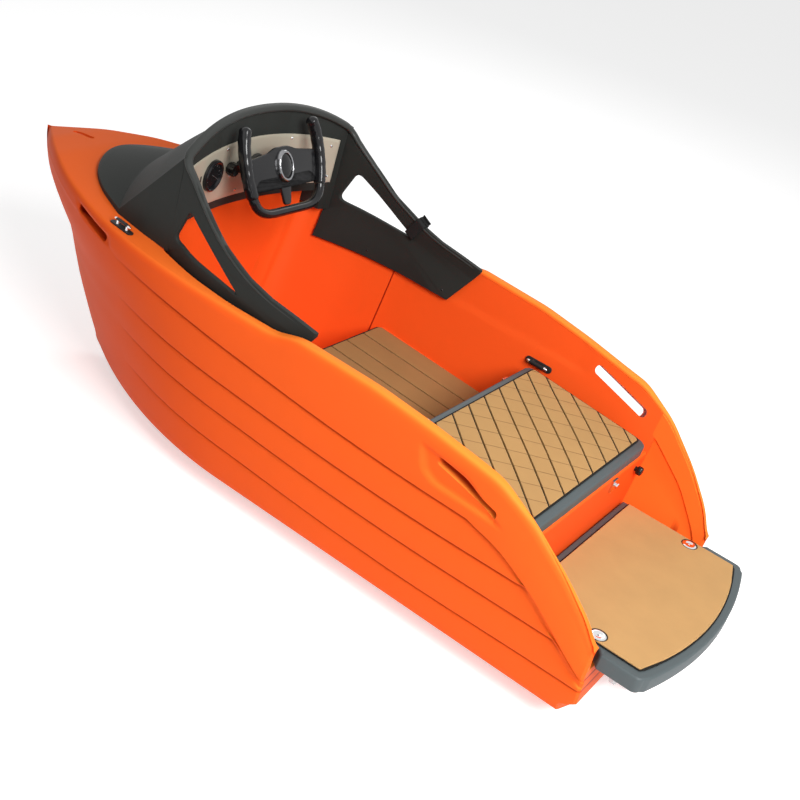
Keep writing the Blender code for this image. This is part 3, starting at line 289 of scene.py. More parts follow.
def round_path(corners: Array, radius: float, spacing: float = 0.004, ring: bool = False) -> Array:
    """Points along straight runs between corners, each corner softened over a radius.

    The path is laid out in even steps and then averaged over a window of the radius.
    """
    ends = np.vstack([corners, corners[:1]]) if ring else corners
    run = np.concatenate([[0.0], np.cumsum(np.linalg.norm(np.diff(ends, axis=0), axis=1))])
    count = max(int(run[-1] / spacing), 8)
    at = np.linspace(0.0, run[-1], count, endpoint=not ring)
    offsets = np.linspace(-radius, radius, 11)
    places = at[:, None] + offsets[None, :]
    if ring:
        places %= run[-1]
    else:
        reach = np.minimum(radius, np.minimum(at, run[-1] - at))[:, None] / radius
        places = at[:, None] + offsets[None, :] * reach
    return np.stack([np.interp(places, run, ends[:, i]).mean(axis=1) for i in range(3)], axis=-1)


def on_slope(rear: tuple[float, float], front: tuple[float, float], shift: float = 0.0) -> Matrix:
    """Frame on a deck that rises from its rear to its front, at their middle, X up the slope.

    Args:
        rear: Position and height of the deck's rear.
        front: Position and height of its front.
        shift: How far ahead of the middle the frame is.

    Returns:
        The frame.
    """
    run, rise = front[0] - rear[0], front[1] - rear[1]
    middle = ((rear[0] + front[0]) / 2 + shift, 0.0, (rear[1] + front[1]) / 2 + shift * rise / run)
    return Matrix.Translation(middle) @ Matrix.Rotation(-math.atan2(rise, run), 4, "Y")


def to_object(shell: Shell, name: str) -> bpy.types.Object:
    """Makes a mesh object of a surface, merged and facing outward."""
    mesh = bpy.data.meshes.new(name)
    mesh.from_pydata(shell.points.tolist(), [], shell.faces)
    bm = bmesh.new()
    bm.from_mesh(mesh)
    bmesh.ops.remove_doubles(bm, verts=bm.verts, dist=MERGE_DISTANCE)
    bmesh.ops.dissolve_degenerate(bm, edges=bm.edges, dist=MERGE_DISTANCE)
    bmesh.ops.recalc_face_normals(bm, faces=bm.faces)
    bm.to_mesh(mesh)
    bm.free()
    made = bpy.data.objects.new(name, mesh)
    bpy.context.scene.collection.objects.link(made)
    return made


def coordinates(made: bpy.types.Object) -> Array:
    """The points of an object's mesh."""
    flat = np.empty(len(made.data.vertices) * 3)
    made.data.vertices.foreach_get("co", flat)
    return flat.reshape(-1, 3)


def mark(made: bpy.types.Object, name: str, values: Array) -> None:
    """Keeps one value for each point as a named attribute."""
    layer = made.data.attributes.new(name, "FLOAT", "POINT")
    layer.data.foreach_set("value", values.astype(np.float32))


def settle(made: bpy.types.Object) -> bpy.types.Object:
    """Applies the modifiers of an object."""
    graph = bpy.context.evaluated_depsgraph_get()
    mesh = bpy.data.meshes.new_from_object(made.evaluated_get(graph))
    made.modifiers.clear()
    made.data = mesh
    return made


def carve(made: bpy.types.Object, cutters: Iterable[Shell]) -> bpy.types.Object:
    """Cuts closed surfaces out of an object, one after another."""
    for number, shell in enumerate(cutters):
        tool = to_object(shell, f"tool_{number}")
        boolean = made.modifiers.new("cut", "BOOLEAN")
        boolean.operation = "DIFFERENCE"
        boolean.solver = "MANIFOLD"
        boolean.object = tool
        settle(made)
        bpy.data.objects.remove(tool)
    return made


def soften(made: bpy.types.Object, width: float, segments: int = 3,
           degrees: float = 35.0) -> bpy.types.Object:
    """Rounds the edges that are sharper than an angle."""
    modifier = made.modifiers.new("round", "BEVEL")
    modifier.width = width
    modifier.segments = segments
    modifier.limit_method = "ANGLE"
    modifier.angle_limit = math.radians(degrees)
    return settle(made)


# Finishes


def node(tree: bpy.types.NodeTree, kind: str, **values: object) -> bpy.types.Node:
    """Adds a node, with sockets set by name and properties by lower-case name."""
    made = tree.nodes.new(kind)
    for key, value in values.items():
        if key in made.inputs:
            made.inputs[key].default_value = value
        else:
            setattr(made, key, value)
    return made


def connect(tree: bpy.types.NodeTree, *pairs: tuple) -> None:
    """Links pairs of sockets, each an output and the input that it feeds."""
    for output, taker in pairs:
        tree.links.new(output, taker)


def effect_group(name: str, inputs: dict, outputs: dict) -> tuple[bpy.types.NodeTree, dict, dict]:
    """Makes a shader node group with its sockets.

    Args:
        name: Name of the group.
        inputs: Default value of each input: a colour has four parts, a vector three.
        outputs: Kind of each output.

    Returns:
        The group, the sockets that bring its inputs and those that take its outputs.
    """
    tree = bpy.data.node_groups.new(name, "ShaderNodeTree")
    for label, value in inputs.items():
        size = len(value) if isinstance(value, tuple) else 1
        kind = {4: "NodeSocketColor", 3: "NodeSocketVector", 1: "NodeSocketFloat"}[size]
        made = tree.interface.new_socket(label, in_out="INPUT", socket_type=kind)
        made.default_value = value
    for label, kind in outputs.items():
        tree.interface.new_socket(label, in_out="OUTPUT", socket_type=f"NodeSocket{kind}")
    given = tree.nodes.new("NodeGroupInput").outputs
    result = tree.nodes.new("NodeGroupOutput").inputs
    return tree, given, result


def surface_group() -> bpy.types.NodeTree:
    """The shared effect of moulded and machined surfaces.

    The colour is multiplied by a broad cloud, the roughness follows a second cloud, and a fine
    grain, stretched by a scale along each axis, tilts the normal.
    """
    name = "surface_effect"
    found = bpy.data.node_groups.get(name)
    if found:
        return found
    tree, given, result = effect_group(
        name, {"Color": (0.5, 0.5, 0.5, 1.0), "Mottle": 0.06, "Mottle Size": 3.0, "Roughness": 0.5,
               "Smudge": 0.08, "Grain Size": 400.0, "Grain Depth": 0.1, "Stretch": (1.0, 1.0, 1.0)},
        {"Color": "Color", "Roughness": "Float", "Normal": "Vector"})
    place = node(tree, "ShaderNodeTexCoord").outputs["Object"]
    cloud = node(tree, "ShaderNodeTexNoise", Detail=4.0, Roughness=0.55)
    fine = node(tree, "ShaderNodeTexNoise", Detail=2.0, Roughness=0.6)
    stretch = node(tree, "ShaderNodeVectorMath", operation="MULTIPLY")
    bump = node(tree, "ShaderNodeBump", Distance=0.0004)
    centre = node(tree, "ShaderNodeMath", operation="SUBTRACT")
    centre.inputs[1].default_value = 0.5
    shade = node(tree, "ShaderNodeMath", operation="MULTIPLY_ADD")
    shade.inputs[2].default_value = 1.0
    tint = node(tree, "ShaderNodeVectorMath", operation="SCALE")
    rough = node(tree, "ShaderNodeMath", operation="MULTIPLY_ADD")
    connect(tree,
            (place, cloud.inputs["Vector"]), (given["Mottle Size"], cloud.inputs["Scale"]),
            (place, stretch.inputs[0]), (given["Stretch"], stretch.inputs[1]),
            (stretch.outputs[0], fine.inputs["Vector"]), (given["Grain Size"], fine.inputs["Scale"]),
            (cloud.outputs["Fac"], centre.inputs[0]),
            (centre.outputs[0], shade.inputs[0]), (given["Mottle"], shade.inputs[1]),
            (given["Color"], tint.inputs[0]), (shade.outputs[0], tint.inputs["Scale"]),
            (centre.outputs[0], rough.inputs[0]), (given["Smudge"], rough.inputs[1]),
            (given["Roughness"], rough.inputs[2]),
            (fine.outputs["Fac"], bump.inputs["Height"]), (given["Grain Depth"], bump.inputs["Strength"]),
            (tint.outputs[0], result["Color"]), (rough.outputs[0], result["Roughness"]),
            (bump.outputs[0], result["Normal"]))
    return tree


def line_group() -> bpy.types.NodeTree:
    """The shared mask of thin parallel lines.

    The position along a direction, in spacings, is brought to its distance from the nearest
    whole number, which becomes one on a line and falls to zero beside it.
    """
    name = "parallel_lines"
    found = bpy.data.node_groups.get(name)
    if found:
        return found
    tree, given, result = effect_group(
        name, {"Direction": (1.0, 0.0, 0.0), "Offset": 0.0, "Width": 0.03}, {"Mask": "Float"})
    place = node(tree, "ShaderNodeTexCoord").outputs["Object"]
    along = node(tree, "ShaderNodeVectorMath", operation="DOT_PRODUCT")
    moved = node(tree, "ShaderNodeMath", operation="ADD")
    nearest = node(tree, "ShaderNodeMath", operation="ROUND")
    gap = node(tree, "ShaderNodeMath", operation="SUBTRACT")
    away = node(tree, "ShaderNodeMath", operation="ABSOLUTE")
    mask = node(tree, "ShaderNodeMapRange", interpolation_type="SMOOTHSTEP")
    mask.inputs["To Min"].default_value = 1.0
    mask.inputs["To Max"].default_value = 0.0
    connect(tree,
            (place, along.inputs[0]), (given["Direction"], along.inputs[1]),
            (along.outputs["Value"], moved.inputs[0]), (given["Offset"], moved.inputs[1]),
            (moved.outputs[0], nearest.inputs[0]), (moved.outputs[0], gap.inputs[0]),
            (nearest.outputs[0], gap.inputs[1]), (gap.outputs[0], away.inputs[0]),
            (away.outputs[0], mask.inputs["Value"]), (given["Width"], mask.inputs["From Max"]),
            (mask.outputs["Result"], result["Mask"]))
    return tree


@dataclass(frozen=True)
class Finish:
    """A finish: a Principled shader fed by the shared surface effect, and the slot it shows."""

    name: str
    color: tuple[float, float, float]
    roughness: float
    slot: str
    metallic: float = 0.0
    specular: float = 0.5
    mottle: float = 0.08
    mottle_size: float = 3.0
    smudge: float = 0.08
    grain_size: float = 500.0
    grain_depth: float = 0.1
    stretch: tuple[float, float, float] = (1.0, 1.0, 1.0)

    def build(self) -> bpy.types.Material:
        """Returns the material, made at its first use."""
        name = f"finish_{self.name}"
        found = bpy.data.materials.get(name)
        if found:
            return found
        made = bpy.data.materials.new(name)
        made.use_nodes = True
        tree = made.node_tree
        shader = tree.nodes["Principled BSDF"]
        effect = node(tree, "ShaderNodeGroup", node_tree=surface_group())
        for label, value in (("Color", (*self.color, 1.0)), ("Mottle", self.mottle),
                             ("Mottle Size", self.mottle_size), ("Roughness", self.roughness),
                             ("Smudge", self.smudge), ("Grain Size", self.grain_size),
                             ("Grain Depth", self.grain_depth), ("Stretch", self.stretch)):
            effect.inputs[label].default_value = value
        shader.inputs["Metallic"].default_value = self.metallic
        shader.inputs["Specular IOR Level"].default_value = self.specular
        color, normal = self.detail(tree, effect.outputs["Color"], effect.outputs["Normal"])
        connect(tree, (color, shader.inputs["Base Color"]), (normal, shader.inputs["Normal"]),
                (effect.outputs["Roughness"], shader.inputs["Roughness"]))
        return made

    def detail(self, tree: bpy.types.NodeTree, color: bpy.types.NodeSocket,
               normal: bpy.types.NodeSocket) -> tuple[bpy.types.NodeSocket, bpy.types.NodeSocket]:
        """Returns the colour and the normal with what a kind of finish adds to them."""
        return color, normal

    @staticmethod
    def blend(tree: bpy.types.NodeTree, share: bpy.types.NodeSocket, under: bpy.types.NodeSocket,
              over: tuple[float, float, float]) -> bpy.types.NodeSocket:
        """Returns a colour mixed with another by a share."""
        mix = node(tree, "ShaderNodeMix", data_type="RGBA")
        mix.inputs[7].default_value = (*over, 1.0)
        connect(tree, (share, mix.inputs[0]), (under, mix.inputs[6]))
        return mix.outputs[2]


@dataclass(frozen=True)
class HullFinish(Finish):
    """Moulded hull colour with painted light: painted shade in the creases and a painted
    highlight where faces look up.

    The painted highlight grows toward the stern, and painted shade deepens the plain colour
    toward the bow.
    """

    # Colour of the painted shade in the creases.
    crease: tuple[float, float, float] = (0.42, 0.020, 0.003)
    # Colour and strength of the painted highlight on upward faces.
    painted_highlight: tuple[float, float, float] = (1.0, 0.29, 0.036)
    painted_highlight_share: float = 0.85
    # Colour and strength of the painted shade toward the bow.
    deep: tuple[float, float, float] = (0.70, 0.072, 0.012)
    bow_shade_share: float = 0.75

    def detail(self, tree: bpy.types.NodeTree, color: bpy.types.NodeSocket,
               normal: bpy.types.NodeSocket) -> tuple[bpy.types.NodeSocket, bpy.types.NodeSocket]:
        """Returns the colour after painted shade toward the bow, a painted highlight on upward faces and
        painted shade in the creases, and the normal as it is.
        """
        place = node(tree, "ShaderNodeTexCoord")
        facing = node(tree, "ShaderNodeSeparateXYZ")
        where = node(tree, "ShaderNodeSeparateXYZ")
        connect(tree, (place.outputs["Normal"], facing.inputs[0]),
                (place.outputs["Object"], where.inputs[0]))
        # Painted highlight: its share grows toward the stern and with how far a face looks up.
        aft = self.ramp(tree, where.outputs["X"], (0.70, -0.70), (0.22, 1.0))
        # Painted shade that deepens the plain colour toward the bow.
        bow = self.ramp(tree, where.outputs["X"], (-0.35, 0.85), (0.0, self.bow_shade_share))
        upward = self.ramp(tree, facing.outputs["Z"], (0.12, 0.95), (0.0, self.painted_highlight_share))
        both = node(tree, "ShaderNodeMath", operation="MULTIPLY")
        connect(tree, (aft, both.inputs[0]), (upward, both.inputs[1]))
        # The crease attribute holds painted shade under the laps and in the grab slots on the hull, and
        # the dark seam line on the liner.
        seam = node(tree, "ShaderNodeAttribute", attribute_name="crease")
        for share, over in ((bow, self.deep), (both.outputs[0], self.painted_highlight),
                            (seam.outputs["Fac"], self.crease)):
            color = self.blend(tree, share, color, over)
        return color, normal

    @staticmethod
    def ramp(tree: bpy.types.NodeTree, value: bpy.types.NodeSocket, start: tuple[float, float],
             result: tuple[float, float]) -> bpy.types.NodeSocket:
        """Returns a smooth step of a value from one range to another."""
        made = node(tree, "ShaderNodeMapRange", interpolation_type="SMOOTHSTEP")
        made.inputs["From Min"].default_value, made.inputs["From Max"].default_value = start
        made.inputs["To Min"].default_value, made.inputs["To Max"].default_value = result
        connect(tree, (value, made.inputs["Value"]))
        return made.outputs["Result"]


@dataclass(frozen=True)
class LinedFinish(Finish):
    """Foam with thin scored lines: parallel, each darker and a little sunk."""

    direction: tuple[float, float, float] = (1.0, 0.0, 0.0)
    offset: float = 0.0
    width: float = 0.03
    line: tuple[float, float, float] = (0.20, 0.105, 0.035)

    def detail(self, tree: bpy.types.NodeTree, color: bpy.types.NodeSocket,
               normal: bpy.types.NodeSocket) -> tuple[bpy.types.NodeSocket, bpy.types.NodeSocket]:
        """Returns the colour and the normal with the lines in them."""
        lines = node(tree, "ShaderNodeGroup", node_tree=line_group())
        for label, value in (("Direction", self.direction), ("Offset", self.offset),
                             ("Width", self.width)):
            lines.inputs[label].default_value = value
        mask = lines.outputs["Mask"]
        bump = node(tree, "ShaderNodeBump", Distance=0.0012, Strength=0.6, invert=True)
        connect(tree, (normal, bump.inputs["Normal"]), (mask, bump.inputs["Height"]))
        return self.blend(tree, mask, color, self.line), bump.outputs[0]


# The hull's orange carries the painted shade and the painted highlight of HullFinish.
HULL_ORANGE = HullFinish("hull_orange", (0.96, 0.125, 0.016), 0.50, "hull_orange", specular=0.04,
                         mottle_size=2.2, grain_size=700.0, grain_depth=0.05)
# The liner keeps a weaker painted highlight on upward faces and no painted shade toward the bow.
LINER_ORANGE = replace(HULL_ORANGE, name="liner_orange", color=(0.86, 0.090, 0.012), specular=0.10,
                       painted_highlight_share=0.15, bow_shade_share=0.0)
COWL_GREY = Finish("cowl_grey", (0.021, 0.023, 0.021), 0.60, "cowl_grey", specular=0.14, mottle=0.25,
                   mottle_size=6.0, grain_size=900.0, grain_depth=0.22)
# The rim's finish: a lighter copy of the cowl grey whose lighter colour is a painted highlight along the
# edge, with a glossier surface.
COWL_RIM_HIGHLIGHT = replace(COWL_GREY, name="cowl_rim_highlight", color=(0.026, 0.028, 0.026), roughness=0.48,
                    specular=0.3, grain_depth=0.2)
SLAB_GREY = Finish("slab_grey", (0.060, 0.076, 0.080), 0.58, "slab_grey", mottle=0.2, mottle_size=8.0,
                   grain_size=900.0, grain_depth=0.22)
FOAM_TAN = Finish("foam_tan", (0.50, 0.29, 0.115), 0.88, "foam_tan", specular=0.25, mottle=0.22,
                  mottle_size=9.0, smudge=0.05, grain_size=1100.0, grain_depth=0.55,
                  stretch=(0.35, 1.0, 1.0))
STEP_TAN = replace(FOAM_TAN, name="step_tan", color=(0.33, 0.165, 0.060))
PANEL_STEEL = Finish("panel_steel", (0.52, 0.475, 0.375), 0.50, "panel_steel", metallic=0.45,
                     mottle=0.10, mottle_size=12.0, smudge=0.16, grain_size=1500.0,
                     stretch=(1.0, 0.02, 1.0))
GLOSS_BLACK = Finish("gloss_black", (0.008, 0.008, 0.009), 0.16, "gloss_black", specular=0.35,
                     mottle=0.2, grain_size=300.0, grain_depth=0.02)
MATTE_BLACK = Finish("matte_black", (0.020, 0.020, 0.020), 0.62, "matte_black", mottle=0.25,
                     grain_size=900.0, grain_depth=0.2)
FOAM_BLACK = Finish("foam_black", (0.009, 0.008, 0.007), 0.9, "matte_black", specular=0.25,
                    grain_size=1100.0, grain_depth=0.5)
DIAL_GREY = Finish("dial_grey", (0.07, 0.07, 0.07), 0.6, "matte_black", grain_size=900.0)
SEAL_BLACK = Finish("seal_black", (0.010, 0.010, 0.010), 0.5, "matte_black", specular=0.3, mottle=0.2)
WEBBING = Finish("webbing", (0.010, 0.010, 0.010), 0.8, "matte_black", specular=0.25, mottle=0.3,
                 mottle_size=60.0, grain_size=700.0, grain_depth=0.9, stretch=(1.0, 0.15, 0.15))
CHROME = Finish("chrome", (0.78, 0.78, 0.79), 0.12, "chrome", metallic=1.0, mottle=0.04, smudge=0.10,
                mottle_size=30.0, grain_size=200.0, grain_depth=0.01)
DARK_CHROME = replace(CHROME, name="dark_chrome", color=(0.30, 0.30, 0.31), roughness=0.16,
                      mottle=0.3, mottle_size=60.0, smudge=0.15)
CAST_ALLOY = Finish("cast_alloy", (0.46, 0.47, 0.48), 0.42, "cast_alloy", metallic=1.0, mottle=0.15,
                    mottle_size=20.0, smudge=0.15, grain_size=450.0, grain_depth=0.3)
BATTERY_CASE = Finish("battery_case", (0.05, 0.08, 0.12), 0.6, "battery_case", mottle=0.15,
                      grain_size=700.0, grain_depth=0.2)

SLOT_FINISH = {finish.slot: finish for finish in (
    HULL_ORANGE, COWL_GREY, SLAB_GREY, FOAM_TAN, PANEL_STEEL, GLOSS_BLACK, MATTE_BLACK, CHROME,
    CAST_ALLOY, BATTERY_CASE)}


def dress_solids() -> None:
    """Gives each solid that stays in view the finish of its slot."""
    for solid in frame["nodes"].values():
        for slot in solid.material_slots:
            name = slot.material.name.split(".")[0] if slot.material else ""
            if name in SLOT_FINISH:
                slot.material = SLOT_FINISH[name].build()


def hand_over(made: bpy.types.Object, body: Body, finish: Finish, replaces: tuple[str, ...] = (),
              degrees: float = 32.0) -> bpy.types.Object:
    """Shades a finished piece, gives it its material and hands it to the frame.

    Args:
        made: The piece.
        body: The body that it rides on.
        finish: Its finish.
        replaces: The solids that it stands for.
        degrees: Angle above which an edge stays sharp.

    Returns:
        The piece.
    """
    made.data.shade_smooth()
    made.data.set_sharp_from_angle(angle=math.radians(degrees))
    made.data.materials.clear()
    made.data.materials.append(finish.build())
    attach(made, body.value)
    if replaces:
        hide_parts(*replaces)
    log.info("%s: %d faces", made.name, len(made.data.polygons))
    return made


# Lines of the hull


@dataclass(frozen=True)
class Lines:
    """The lines that the hull, its liner and the cowl share.

    Tables hold position and height pairs along the boat. A table is read with its corners
    rounded: the value at a point is the mean of the table over a short window round it.
    """

    transom_x: float = -1.045
    transom_step: tuple[float, float] = (0.040, 0.120)
    full_beam_x: float = 0.115
    deck_z: float = 0.662
    chine: tuple[float, float] = (0.288, 0.077)
    keel_pad: float = 0.135
    sheer: tuple[float, float] = (0.447, 0.430)
    sheer_taper: float = 0.750
    bulge: float = 0.007
    gunwale: tuple = ((-1.045, 0.327), (-1.030, 0.360), (-1.005, 0.400), (-0.925, 0.484),
                      (-0.820, 0.573), (-0.715, 0.628), (-0.510, 0.662), (-0.360, 0.680),
                      (-0.130, 0.688), (-0.050, 0.662), (0.960, 0.662), (1.080, 0.650),
                      (1.219, 0.618))
    stem: tuple = ((0.000, 0.830), (0.030, 0.868), (0.107, 0.921), (0.235, 1.003), (0.341, 1.052),
                   (0.442, 1.099), (0.518, 1.170), (0.570, 1.212), (0.618, 1.219))
    wall: tuple = ((-1.045, 0.012), (-0.900, 0.020), (-0.800, 0.027), (-0.700, 0.040),
                   (0.100, 0.040), (0.250, 0.055), (0.390, 0.082), (0.500, 0.105))
    laps: tuple = (
        ((-0.950, 0.1910), (-0.550, 0.1765), (-0.250, 0.1850), (0.050, 0.2090), (0.300, 0.2280),
         (0.900, 0.2500)),
        ((-0.950, 0.2990), (-0.550, 0.2905), (-0.250, 0.3000), (0.050, 0.3255), (0.300, 0.3490),
         (0.900, 0.3800)),
        ((-0.950, 0.3980), (-0.550, 0.3880), (-0.250, 0.4000), (0.050, 0.4270), (0.300, 0.4530),
         (0.900, 0.4850)),
        ((-0.950, 0.4870), (-0.550, 0.4865), (-0.250, 0.5060), (0.050, 0.5435), (0.300, 0.5800),
         (0.900, 0.6120)))
    lap_step: float = 0.006
    lap_spacing: float = 0.012
    lap_fade: tuple[float, float] = (0.28, 0.52)
    arc: tuple = ((-1.045, 0.231), (-1.013, 0.258), (-0.937, 0.328), (-0.866, 0.391),
                  (-0.780, 0.447), (-0.735, 0.4665), (-0.680, 0.4800), (-0.620, 0.5050),
                  (-0.400, 0.640), (0.900, 0.800))
    arc_step: tuple[float, float] = (0.014, 0.006)
    arc_step_x: tuple[float, float] = (-1.000, -0.600)
    ridge: tuple = ((-1.045, 0.262), (-1.006, 0.330), (-0.920, 0.424), (-0.804, 0.509),
                    (-0.700, 0.562), (-0.600, 0.590))

    @staticmethod
    def read(table: tuple, at: Array, window: float = 0.02) -> Array:
        """The mean of a table over a window round each point."""
        first, second = np.array(table).T
        reach = np.linspace(-window, window, 9)
        return np.interp(np.asarray(at, dtype=float)[..., None] + reach, first, second).mean(-1)

    def gunwale_z(self, x: Array) -> Array:
        """Height of the gunwale."""
        return self.read(self.gunwale, x, 0.022)

    def stem_x(self, z: Array) -> Array:
        """Position of the stem at a height."""
        return self.read(self.stem, z, 0.012)

    def half(self, x: Array, z: Array) -> Array:
        """Half beam of the planking: it flares with height and closes to the stem as a power."""
        x, z = np.broadcast_arrays(np.asarray(x, dtype=float), np.asarray(z, dtype=float))
        rise = (z - self.chine[1]) / (self.deck_z - self.chine[1])
        aft = share_of(self.full_beam_x - x, 0.0, self.sheer_taper)
        sheer = self.sheer[0] + (self.sheer[1] - self.sheer[0]) * aft
        level = share_of(rise)
        half = self.chine[0] + (sheer - self.chine[0]) * rise + self.bulge * np.sin(np.pi * level)
        reach = self.stem_x(z) - self.full_beam_x
        fraction = share_of(x - self.full_beam_x, 0.0, reach)
        return half * (1.0 - fraction ** (1.9 + 0.5 * level))

    def well_half(self, x: Array, z: Array) -> Array:
        """Half width of the cockpit between the liner's inner faces."""
        return self.half(x, z) - self.read(self.wall, x, 0.03)

    def lap_z(self, number: int, x: Array) -> Array:
        """Height of a lap: it follows the sheer, and is held under the tail fins' arc aft."""
        below = len(self.laps) - 1 - number
        held = self.read(self.arc, x, 0.025) - self.lap_spacing * below
        return np.minimum(self.read(self.laps[number], x, 0.12), held)

    def lap_out(self, number: int, x: Array) -> Array:
        """How far a lap stands proud: the top one grows aft, the others end at the arc."""
        fade = share_of(x, *self.lap_fade[::-1])
        last = len(self.laps) - 1
        if number == last:
            return fade * np.interp(x, self.arc_step_x, self.arc_step)
        room = (self.lap_z(last, x) - self.read(self.laps[number], x, 0.12)) / (2 * self.lap_spacing)
        return fade * self.lap_step * share_of(room)


LINES = Lines()


@dataclass(frozen=True)
class Handle:
    """A grab slot through the side and the dish round it."""

    aft: tuple[float, float]
    fore: tuple[float, float]
    height: float
    corners: Outline
    rim: float = 0.020
    depth: float = 0.010
    softness: float = 0.004
    face_y: float = 0.385
    lean: tuple[float, float] = (0.6, -0.5)
    span: tuple[float, float] = (0.30, 0.48)

    @property
    def middle(self) -> tuple[float, float]:
        """Position and height of the slot's middle."""
        return (self.aft[0] + self.fore[0]) / 2, (self.aft[1] + self.fore[1]) / 2

    @property
    def length(self) -> float:
        """Length of the slot."""
        return math.dist(self.aft, self.fore)

    @property
    def angle(self) -> float:
        """Slope of the slot."""
        return math.atan2(self.fore[1] - self.aft[1], self.fore[0] - self.aft[0])

    def dish(self, x: Array, z: Array) -> Array:
        """Depth of the dish: it eases in from the outline of its corners over the rim.

        The distance from the outline is a soft maximum of those from its edges' lines.
        """
        corner = np.array(self.corners)
        run = np.roll(corner, -1, axis=0) - corner
        run = run / np.linalg.norm(run, axis=1, keepdims=True)
        away = (run[:, 1] * (np.asarray(x)[..., None] - corner[:, 0])
                - run[:, 0] * (np.asarray(z)[..., None] - corner[:, 1]))
        soft = self.softness
        outside = np.log(np.exp(np.clip(away / soft, -60.0, 60.0)).sum(axis=-1)) * soft
        return self.depth * ease(share_of(-outside, 0.0, self.rim))

    def cutter(self, side: int) -> Shell:
        """The slot as a solid through the side: outward it goes forward and sinks by its lean."""
        outline = np.array(rounded(self.length, self.height, self.height * 0.42, 10))
        cosine, sine = math.cos(self.angle), math.sin(self.angle)
        x = self.middle[0] + outline[:, 0] * cosine - outline[:, 1] * sine
        z = self.middle[1] + outline[:, 0] * sine + outline[:, 1] * cosine
        rings = [np.column_stack([x + self.lean[0] * (y - self.face_y), np.full(len(x), side * y),
                                  z + self.lean[1] * (y - self.face_y)])
                 for y in np.linspace(*self.span, 20)]
        return loft(np.stack(rings))

    def within(self, x: Array, y: Array, z: Array) -> Array:
        """How far behind the skin points in the slot are, as a share of 8 mm; others give 0. This sets
        the painted shade inside the slot.
        """
        out = np.abs(y) - self.face_y
        away_x = x - self.lean[0] * out - self.middle[0]
        away_z = z - self.lean[1] * out - self.middle[1]
        along = away_x * math.cos(self.angle) + away_z * math.sin(self.angle)
        across = away_z * math.cos(self.angle) - away_x * math.sin(self.angle)
        inside = (np.abs(along) < self.length / 2 + 0.001) & (np.abs(across) < self.height / 2 + 0.001)
        skin = LINES.half(x, z) - self.dish(x, z) - 0.003
        return share_of(skin - np.abs(y), 0.0, 0.008) * inside


STERN_HANDLE = Handle((-0.745, 0.549), (-0.567, 0.606), 0.030,
                      [(-0.500, 0.622), (-0.640, 0.602), (-0.772, 0.508), (-0.556, 0.516),
                       (-0.515, 0.545)])
BOW_HANDLE = Handle((0.562, 0.612), (0.716, 0.628), 0.026,
                    [(0.745, 0.652), (0.532, 0.640), (0.532, 0.594), (0.705, 0.600)],
                    lean=(0.0, 0.0), span=(0.27, 0.46))
HANDLES = (STERN_HANDLE, BOW_HANDLE)


